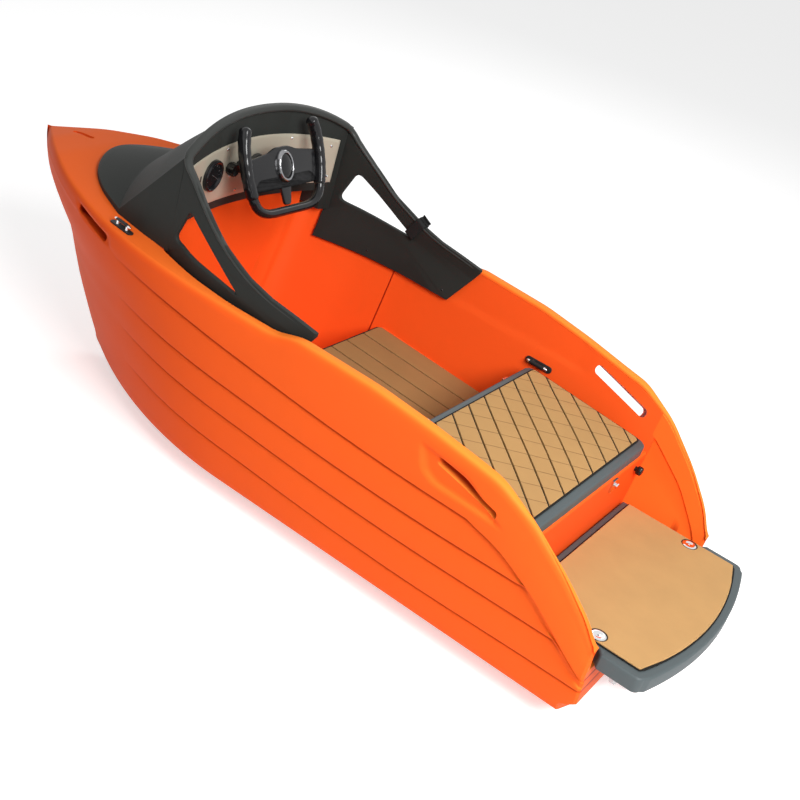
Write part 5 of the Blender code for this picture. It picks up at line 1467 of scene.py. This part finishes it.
@dataclass
class Wheel:
    """The yoke wheel: two grips, a flat lower rim, three wide spokes and a ringed hub."""

    centre: tuple[float, float, float] = (0.330, 0.0, 0.868)
    rake: float = math.radians(25.0)
    half: float = 0.156
    low: float = -0.118
    grip: tuple[float, float] = (0.0140, 0.0172)
    rim: tuple[float, float] = (0.0125, 0.0140)

    def place(self) -> Matrix:
        """Frame of the wheel: X to starboard, Y up in its plane, Z along its axis to the driver."""
        axis = Vector((-math.cos(self.rake), 0.0, math.sin(self.rake)))
        across = Vector((0.0, -1.0, 0.0))
        turn = Matrix((across, axis.cross(across), axis)).transposed().to_4x4()
        return Matrix.Translation(self.centre) @ turn

    def build(self) -> None:
        """Makes the parts of the wheel."""
        place = self.place()
        tip, foot = self.half - 0.0165, self.low + 0.0135
        right = [(tip, 0.030), (0.060, 0.040), (0.025, 0.052)]
        under = [(0.013, foot), (0.022, -0.048), (0.060, -0.030), (0.106, -0.028), (0.124, -0.044),
                 (tip, -0.064)]
        corners = right + [(-x, y) for x, y in right[::-1]]
        corners += [(-x, y) for x, y in under[::-1]] + under
        path = round_path(np.array([(x, y, 0.0) for x, y in corners]), 0.009, 0.0025, ring=True)
        spokes = to_object(round_slab(path[:, :2], -0.010, 0.0, 0.0032, place), "wheel_yoke")
        hand_over(spokes, Body.WHEEL, GLOSS_BLACK, ("wheel_spokes",), 60.0)
        cap = [(0.0005, 0.0125), (0.012, 0.0120), (0.020, 0.0104), (0.0255, 0.0075), (0.0262, 0.0004),
               (0.0005, 0.0004)]
        oval = place @ Matrix.Diagonal((0.92, 1.28, 1.0, 1.0))
        hand_over(to_object(turned(cap, oval, 64), "wheel_cap"), Body.WHEEL, GLOSS_BLACK,
                  ("wheel_hub",), 50.0)
        ring = [(0.0268, 0.0098), (0.0290, 0.0112), (0.0312, 0.0108), (0.0330, 0.0082),
                (0.0345, 0.0040), (0.0352, 0.0004), (0.0268, 0.0004)]
        hand_over(to_object(turned(ring, oval, 80, 20, 0.02), "wheel_bezel"), Body.WHEEL,
                  DARK_CHROME, ("wheel_ring",), 50.0)
        half, low = self.half, self.low
        curve = [(half - 0.0125, low + 0.050), (half - 0.0168, low + 0.0332),
                 (half - 0.030, low + 0.015), (half - 0.054, low + 0.004), (half - 0.080, low)]
        curve = curve + [(-x, y) for x, y in curve[::-1]]
        path = round_path(np.array([(x, y, 0.0) for x, y in curve]), 0.016, 0.003)
        rim = sweep(path, ellipse(*self.rim, 28))
        hand_over(to_object(rim.moved(place), "wheel_lower_rim"), Body.WHEEL, GLOSS_BLACK,
                  ("wheel_rim",), 60.0)
        for side, word in ((-1, "port"), (1, "starboard")):
            made = to_object(self.grip_shell(side).moved(place), f"wheel_handle_{word}")
            hand_over(made, Body.WHEEL, GLOSS_BLACK, (f"wheel_grip_{word}",), 60.0)

    def grip_shell(self, side: int) -> Shell:
        """One grip: an oval carried up its curve, domed at the top, with faint finger swells.

        The dome's size follows the square root of one less the squared way to its end.
        """
        half, low = self.half, self.low
        curve = [(half - 0.020, 0.1165), (half - 0.006, 0.085), (half, 0.045), (half, 0.0),
                 (half - 0.004, -0.035), (half - 0.0124, low + 0.0520)]
        path = round_path(np.array([(side * x, y, 0.0) for x, y in curve]), 0.020, 0.0022)
        run = np.concatenate([[0.0], np.cumsum(np.linalg.norm(np.diff(path, axis=0), axis=1))])
        dome = np.clip(1.0 - run / 0.014, 0.0, 0.985)
        size = np.sqrt(1.0 - dome ** 2) * (1.0 + 0.022 * np.sin(2 * np.pi * run / 0.030))
        size *= np.interp(run[-1] - run, (0.0, 0.006), (0.90, 1.0))
        angle = np.linspace(0.0, 2.0 * math.pi, 36, endpoint=False)
        power = 0.80
        section = np.column_stack([
            self.grip[0] * np.sign(np.cos(angle)) * np.abs(np.cos(angle)) ** power,
            self.grip[1] * np.sign(np.sin(angle)) * np.abs(np.sin(angle)) ** power])
        return sweep(path, section, size)


@dataclass
class Foam:
    """A sheet of tan foam: strips with rounded edges side by side over a black base.

    A line runs where y + slope * x is constant, with a shallow wave along it, and c names it.
    """

    outline: Array
    lines: tuple[float, ...]
    slope: float = 0.0
    wave: tuple[float, float] = (0.0, 0.4)
    gap: float = 0.004
    low: float = 0.0
    high: float = 0.006
    edge: float = 0.0014
    crown: float = 0.0
    rows: int = 18
    columns: int = 60

    def across(self, c: Array, x: Array) -> Array:
        """The y of line c at a position."""
        return c - self.slope * x + self.wave[0] * np.sin(2 * np.pi * x / self.wave[1])

    def depth(self, x: Array, y: Array) -> Array:
        """Least distance inward from the outline's edges."""
        run = np.roll(self.outline, -1, axis=0) - self.outline
        size = np.linalg.norm(run, axis=1)
        keep = size > 1e-6
        start, run = self.outline[keep], run[keep] / size[keep, None]
        away = (run[:, 0] * (y[..., None] - start[:, 1]) - run[:, 1] * (x[..., None] - start[:, 0]))
        return away.min(axis=-1)

    def span(self, c: Array) -> tuple[Array, Array]:
        """Where lines enter and leave the outline, by linear steps between dense samples."""
        low, high = self.outline[:, 0].min(), self.outline[:, 0].max()
        x = np.broadcast_to(np.linspace(low - 0.001, high + 0.001, 500), (len(c), 500))
        deep = self.depth(x, self.across(c[:, None], x))
        inside = deep > 0.0
        row = np.arange(len(c))
        first = np.clip(inside.argmax(axis=1), 1, 499)
        last = np.clip(499 - inside[:, ::-1].argmax(axis=1), 0, 498)

        def cross(near: Array, far: Array) -> Array:
            """Zero of the depth between two neighbouring samples."""
            a, b = deep[row, near], deep[row, far]
            return x[row, near] + (x[row, far] - x[row, near]) * np.clip(a / (a - b + 1e-12), 0, 1)

        return cross(first - 1, first), cross(last + 1, last)

    def strip(self, start: float, stop: float) -> Shell:
        """The strip between two lines, its height falling off as a quarter round at its edges."""
        part = 0.5 - 0.5 * np.cos(np.pi * np.linspace(0.0, 1.0, self.rows))
        c = start + (stop - start) * part
        first, last = self.span(c)
        t = 0.5 - 0.5 * np.cos(np.pi * np.linspace(0.0, 1.0, self.columns))
        x = first[:, None] + (last - first)[:, None] * t[None, :]
        y = self.across(c[:, None], x)
        scale = math.cos(math.atan(self.slope))
        side = np.minimum(c - start, stop - c)[:, None] * scale
        near = np.minimum(side, np.maximum(self.depth(x, y), 0.0))
        short = np.clip(self.edge - near, 0.0, self.edge)
        half = np.abs(self.outline).max(axis=0)
        swell = self.crown * (1.0 - (x / half[0]) ** 2) * (1.0 - (y / half[1]) ** 2)
        z = self.high + swell - self.edge + np.sqrt(self.edge ** 2 - short ** 2)
        top = np.stack([x, y, z], axis=-1)
        bottom = top.copy()
        bottom[:, :, 2] = self.low
        return between(top, bottom)

    def shell(self) -> Shell:
        """All the strips."""
        sums = self.outline[:, 1] + self.slope * self.outline[:, 0]
        margin = 0.0008 + 1.5 * abs(self.wave[0])
        ends = [sums.min() + margin, *self.lines, sums.max() - margin]
        made = []
        for number, (start, stop) in enumerate(zip(ends, ends[1:])):
            start += 0.0 if number == 0 else self.gap / 2
            stop -= 0.0 if number == len(ends) - 2 else self.gap / 2
            made.append(self.strip(start, stop))
        return sum(made[1:], made[0])


def pad(foam: Foam, base: Array, base_height: tuple[float, float], place: Matrix, body: Body,
        name: str, solid: str, finish: Finish, holes: Iterable[Shell] = ()) -> None:
    """Makes a foam sheet and the black sheet under it, and hands both over.

    Args:
        foam: The tan strips.
        base: Outline of the black sheet.
        base_height: Its lower and upper height.
        place: Frame of both.
        body: The body that they ride on.
        name: Name of the foam's piece.
        solid: The solid that they stand for.
        finish: The foam's finish.
        holes: Solids to cut out of both.
    """
    made = to_object(foam.shell().moved(place), name)
    hand_over(made, body, finish, (solid,))
    under = to_object(round_slab(base, *base_height, 0.0006, place), f"{name}_base")
    for piece in (made, under):
        carve(piece, holes)
    hand_over(under, body, FOAM_BLACK, (solid,))


@dataclass
class Seat:
    """The hinged seat lid with its quilted foam."""

    rear: tuple[float, float] = (-0.800, 0.466)
    front: tuple[float, float] = (-0.395, 0.500)
    length: float = 0.400
    width: float = 0.660
    thickness: float = 0.0395
    line_slope: float = 0.94
    line_spacing: float = 0.0796
    line_x: float = 0.188
    line_start: float = -0.2072
    thin_slope: float = 0.85

    def build(self) -> None:
        """Makes the lid and its foam."""
        place = on_slope(self.rear, self.front)
        edge = np.array(rounded(self.length, self.width, 0.028, 12))
        lid = to_object(round_slab(edge, 0.0003, self.thickness, 0.008, place), "seat_board")
        hand_over(lid, Body.SEAT, SLAB_GREY, ("seat_lid",), 60.0)
        shift = (0.0015, 0.0)
        base = np.array(rounded(0.358, 0.637, 0.014, 10)) + shift
        tan = np.array(rounded(0.349, 0.626, 0.010, 10)) + shift
        first = self.line_start + self.line_slope * self.line_x
        lines = first + self.line_spacing * np.arange(-9, 14)
        sums = tan[:, 1] + self.line_slope * tan[:, 0]
        lines = lines[(lines > sums.min() + 0.02) & (lines < sums.max() - 0.02)]
        foam = Foam(tan, tuple(lines.tolist()), self.line_slope, wave=(0.0022, 0.40), gap=0.0066,
                    low=0.0434, high=0.0462, crown=0.0035)
        across = Vector((-self.thin_slope, 1.0, 0.0)) / self.line_spacing
        direction = place.to_3x3() @ across
        start = place @ Vector((self.line_x, self.line_start, 0.0))
        finish = LinedFinish("foam_quilted", (0.46, 0.262, 0.100), 0.88, "foam_tan", specular=0.25,
                             mottle=0.22, mottle_size=9.0, smudge=0.05, grain_size=1100.0,
                             grain_depth=0.55, direction=tuple(direction),
                             offset=-direction.dot(start), width=0.030)
        pad(foam, base, (0.0398, 0.0437), place, Body.SEAT, "seat_quilt", "seat_foam", finish)


@dataclass
class StepDeck:
    """The black board on the step deck with its foam planks."""

    rear: tuple[float, float] = (-0.395, 0.373)
    front: tuple[float, float] = (0.090, 0.405)
    length: float = 0.474
    lines: tuple[float, ...] = (-0.227, -0.1435, -0.070, 0.0, 0.070, 0.1435, 0.227)

    def build(self) -> None:
        """Makes the board and its foam."""
        place = on_slope(self.rear, self.front, 0.003)
        width = 2.0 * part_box("step_board")[1][1]
        edge = np.array(rounded(self.length, width, 0.020, 10))
        board = to_object(round_slab(edge, 0.0003, 0.0079, 0.0015, place), "step_tray")
        hand_over(board, Body.BOAT, FOAM_BLACK, ("step_board",), 60.0)
        base = np.array(rounded(self.length - 0.010, width - 0.010, 0.017, 8))
        tan = np.array(rounded(self.length - 0.018, width - 0.018, 0.014, 8))
        foam = Foam(tan, self.lines, gap=0.0050, low=0.0098, high=0.0140, edge=0.0012, rows=10,
                    columns=40)
        pad(foam, base, (0.0082, 0.0104), place, Body.BOAT, "step_planks", "step_foam", STEP_TAN)


@dataclass
class Platform:
    """The swim platform: a thick moulded slab with foam and two deck eyes."""

    fore: float = -0.8035
    aft: float = -1.165
    arc: float = -1.219
    low: float = 0.2788
    high: float = 0.3238
    halves: tuple[float, float] = (0.3130, 0.3340)
    transom_x: float = -1.045
    eye: tuple[float, float] = (-1.021, 0.283)
    eye_hole: float = 0.0229

    def outline(self, inset: float, halves: tuple[float, float], radius: float) -> Array:
        """Outline with rounded rear corners and an arc between them.

        The rear edge bows out by a share that falls with the square of the way to its corner.
        """
        narrow, wide = halves
        turn = np.linspace(math.pi / 2, math.pi * 0.92, 12)
        corner = np.column_stack([self.aft + inset + radius + radius * np.cos(turn),
                                  wide - radius + radius * np.sin(turn)])
        y = np.linspace(wide - radius * 0.8, 0.0, 40)[1:]
        bow = 1.0 - (y / wide) ** 2
        rear = np.column_stack([self.aft + inset + (self.arc - self.aft) * bow, y])
        near = np.array([(self.fore - inset, narrow)])
        if wide > narrow:
            t = np.linspace(0.0, 1.0, 10)
            flare = np.column_stack([self.transom_x + 0.010 - 0.024 * t,
                                     narrow + (wide - narrow) * ease(t)])
            near = np.vstack([near, flare])
        side = np.vstack([near, corner, rear])
        mirror = side[-2::-1] * (1.0, -1.0)
        return np.vstack([side, mirror])

    def build(self) -> None:
        """Makes the slab, the foam and the eyes."""
        still = Matrix.Identity(4)
        edge = self.outline(0.0, self.halves, 0.020)
        made = to_object(round_slab(edge, self.low, self.high, 0.007, still), "platform_slab")
        hand_over(made, Body.BOAT, SLAB_GREY, ("swim_platform",), 60.0)
        half = self.halves[0] - 0.0035
        base = self.outline(0.018, (half, half), 0.007)
        tan = self.outline(0.0215, (half - 0.003, half - 0.003), 0.005)
        foam = Foam(tan, (), low=self.high + 0.0014, high=self.high + 0.0064, edge=0.0018, rows=90,
                    columns=90)
        round_hole = ellipse(self.eye_hole, self.eye_hole, 64)
        holes = [slab(round_hole + (self.eye[0], side * self.eye[1]), self.high - 0.01,
                      self.high + 0.02) for side in (1, -1)]
        pad(foam, base, (self.high + 0.0003, self.high + 0.0032), still, Body.BOAT,
            "platform_mat", "platform_foam", FOAM_TAN, holes)
        for side, word in SIDES:
            x, y = self.eye
            place = Matrix.Translation((x, side * y, self.high + 0.0012))
            dish = [(0.0022, 0.0030), (0.0030, 0.0044), (0.0095, 0.0046), (0.0115, 0.0058),
                    (0.0165, 0.0058), (0.0195, 0.0046), (0.0198, 0.0002), (0.0022, 0.0002)]
            eye = to_object(turned(dish, place, 56), f"deck_fitting_{word}")
            hand_over(eye, Body.BOAT, CHROME, (f"deck_eye_{word}",), 50.0)
            seal = [(0.0200, 0.0050), (0.0212, 0.0056), (0.0222, 0.0048), (0.0224, 0.0002),
                    (0.0200, 0.0002)]
            ring = to_object(turned(seal, place, 56), f"deck_seal_{word}")
            hand_over(ring, Body.BOAT, SEAL_BLACK)


@dataclass
class Cleats:
    """Folding cleats on the bow gunwale and beside the seat, and the drain knob."""

    bow_x: float = 0.520
    bow_inset: float = 0.0348
    bow_turn: float = math.radians(-9.0)
    seat_at: tuple[float, float] = (-0.415, 0.536)
    knob_at: tuple[float, float, float] = (-0.8003, -0.305, 0.435)

    def build(self) -> None:
        """Makes the four cleats and the knob."""
        for side, word in SIDES:
            y = float(LINES.half(self.bow_x, LINES.deck_z)) - self.bow_inset
            place = Matrix.Translation((self.bow_x, side * y, LINES.deck_z + 0.0003))
            place = place @ Matrix.Rotation(side * self.bow_turn, 4, "Z")
            self.cleat(f"bow_cleat_{word}", place)
            x, z = self.seat_at
            steps = np.array([(x, z), (x, z + 0.02), (x, z - 0.02), (x + 0.04, z), (x - 0.04, z)])
            here, up, down, ahead, behind = LINES.well_half(steps[:, 0], steps[:, 1])
            place = Matrix.Translation((x, side * (here - 0.0009), z))
            place = place @ Matrix.Rotation(side * math.atan2(ahead - behind, 0.08), 4, "Z")
            lean = math.radians(90.0) - math.atan2(up - down, 0.04)
            self.cleat(f"seat_cleat_{word}", place @ Matrix.Rotation(side * lean, 4, "X"))
        place = Matrix.Translation(self.knob_at) @ Matrix.Rotation(math.radians(-90.0), 4, "Y")
        knob = turned([(0.0005, 0.0220), (0.0080, 0.0222), (0.0118, 0.0205), (0.0130, 0.0170),
                       (0.0130, 0.0085), (0.0105, 0.0062), (0.0070, 0.0058), (0.0070, 0.0),
                       (0.0005, 0.0)], place, 72, 9, 0.10)
        hand_over(to_object(knob, "drain_cap"), Body.BOAT, GLOSS_BLACK, ("drain_knob",), 50.0)

    @staticmethod
    def cleat(name: str, place: Matrix) -> None:
        """One cleat: a black base with a raised rim, and a chrome bar on two turned feet."""
        base = round_slab(np.array(rounded(0.086, 0.020, 0.0088, 10)), 0.0, 0.0042, 0.0012, place)
        hand_over(to_object(base, f"{name}_base"), Body.BOAT, SEAL_BLACK, (name,))
        foot = [(0.0004, 0.0150), (0.0036, 0.0150), (0.0038, 0.0080), (0.0050, 0.0038),
                (0.0004, 0.0038)]
        feet = [turned(foot, place @ Matrix.Translation((x, 0.0, 0.0)), 24) for x in (-0.02, 0.02)]
        x = np.linspace(-0.0345, 0.0345, 40)
        path = np.column_stack([x, 0.0 * x, 0.0168 - 0.0012 * (x / 0.0345) ** 2])
        size = np.sqrt(1.0 - np.clip(np.abs(x) / 0.0347, 0.0, 0.995) ** 8)
        bar = sweep(path, ellipse(0.0052, 0.0030, 20), size)
        made = to_object(feet[0] + feet[1] + bar.moved(place), f"{name}_bar")
        hand_over(made, Body.BOAT, CHROME, (name,), 50.0)
        x = np.linspace(-0.0235, 0.0235, 12)
        path = np.column_stack([x, 0.0 * x, 0.0168 - 0.0012 * (x / 0.0345) ** 2])
        sleeve = to_object(sweep(path, ellipse(0.0058, 0.0036, 20)).moved(place), f"{name}_sleeve")
        hand_over(sleeve, Body.BOAT, SEAL_BLACK, (), 50.0)


# Stage


@dataclass
class Studio:
    """Camera, lamps, floor and background."""

    eye: tuple[float, float, float] = (-1.510, 2.632, 2.030)
    right: tuple[float, float, float] = (-0.7900, -0.5520, 0.2670)
    up: tuple[float, float, float] = (0.4752, -0.2760, 0.8355)
    lens: float = 55.9
    floor_half: float = 40.0
    floor_glow: float = 0.55
    sky: float = 0.33
    lamps: tuple = field(default_factory=lambda: (
        {"name": "key", "at": (-3.0, 1.9, 3.2), "size": 2.2, "power": 235.0},
        {"name": "fill", "at": (1.6, 5.0, 2.4), "size": 3.5, "power": 14.0},
        {"name": "rim", "at": (1.5, -4.2, 3.6), "size": 3.0, "power": 40.0},
    ))

    def build(self) -> None:
        """Makes everything around the object."""
        self.camera()
        self.light()
        self.floor()
        bpy.context.scene.view_settings.view_transform = "Standard"

    def camera(self) -> None:
        """Puts the camera where the photographer stood."""
        across = Vector(self.right).normalized()
        back = across.cross(Vector(self.up)).normalized()
        lift = back.cross(across)
        turn = Matrix((across, lift, back)).transposed().to_4x4()
        data = bpy.data.cameras.new("camera")
        data.sensor_width = 36.0
        data.lens = self.lens
        made = bpy.data.objects.new("camera", data)
        made.matrix_world = Matrix.Translation(self.eye) @ turn
        bpy.context.scene.collection.objects.link(made)
        bpy.context.scene.camera = made

    def light(self) -> None:
        """Soft lamps, and a world that is white to the eye and dimmer as a light."""
        for lamp in self.lamps:
            data = bpy.data.lights.new(lamp["name"], "AREA")
            data.shape = "DISK"
            data.size = lamp["size"]
            data.energy = lamp["power"]
            made = bpy.data.objects.new(lamp["name"], data)
            made.location = lamp["at"]
            aim = Vector((0.0, 0.0, 0.4)) - Vector(lamp["at"])
            made.rotation_euler = aim.to_track_quat("-Z", "Y").to_euler()
            bpy.context.scene.collection.objects.link(made)
        world = bpy.data.worlds.new("world")
        bpy.context.scene.world = world
        world.use_nodes = True
        tree = world.node_tree
        tree.nodes.clear()
        seen = self.seen(tree)
        soft = node(tree, "ShaderNodeBackground", Color=WHITE, Strength=self.sky)
        plain = node(tree, "ShaderNodeBackground", Color=WHITE, Strength=1.0)
        mix = node(tree, "ShaderNodeMixShader")
        out = node(tree, "ShaderNodeOutputWorld")
        connect(tree, (seen, mix.inputs[0]), (soft.outputs[0], mix.inputs[1]),
                (plain.outputs[0], mix.inputs[2]), (mix.outputs[0], out.inputs["Surface"]))

    @staticmethod
    def seen(tree: bpy.types.NodeTree) -> bpy.types.NodeSocket:
        """One for rays from the camera, from gloss or through glass, else zero."""
        path = node(tree, "ShaderNodeLightPath")
        first = node(tree, "ShaderNodeMath", operation="MAXIMUM")
        second = node(tree, "ShaderNodeMath", operation="MAXIMUM")
        connect(tree, (path.outputs["Is Camera Ray"], first.inputs[0]),
                (path.outputs["Is Glossy Ray"], first.inputs[1]),
                (first.outputs[0], second.inputs[0]),
                (path.outputs["Is Transmission Ray"], second.inputs[1]))
        return second.outputs[0]

    def floor(self) -> None:
        """A pale floor that glows just enough to look white where no shadow falls."""
        half = self.floor_half
        grid = np.array([[(-half, -half, 0.0), (-half, half, 0.0)],
                         [(half, -half, 0.0), (half, half, 0.0)]])
        made = to_object(sheet(grid), "floor")
        if made.data.polygons[0].normal.z < 0:
            made.data.flip_normals()
        material = bpy.data.materials.new("floor")
        material.use_nodes = True
        tree = material.node_tree
        tree.nodes.clear()
        matte = node(tree, "ShaderNodeBsdfDiffuse", Color=(0.82, 0.82, 0.82, 1.0))
        glow = node(tree, "ShaderNodeEmission", Color=WHITE)
        gain = node(tree, "ShaderNodeMath", operation="MULTIPLY")
        gain.inputs[1].default_value = self.floor_glow
        both = node(tree, "ShaderNodeAddShader")
        out = node(tree, "ShaderNodeOutputMaterial")
        connect(tree, (self.seen(tree), gain.inputs[0]), (gain.outputs[0], glow.inputs["Strength"]),
                (matte.outputs[0], both.inputs[0]), (glow.outputs[0], both.inputs[1]),
                (both.outputs[0], out.inputs["Surface"]))
        made.data.materials.append(material)


def main() -> None:
    """Builds the pieces in order."""
    logging.basicConfig(level=logging.INFO, format="%(name)s %(message)s")
    Studio().build()
    dress_solids()
    for piece in (Hull(), Liner(), Cowl(), Strap(), Dash(), Wheel(), Seat(), StepDeck(),
                  Platform(), Cleats()):
        log.info("building %s", type(piece).__name__)
        piece.build()


if __name__ == "__main__":
    main()
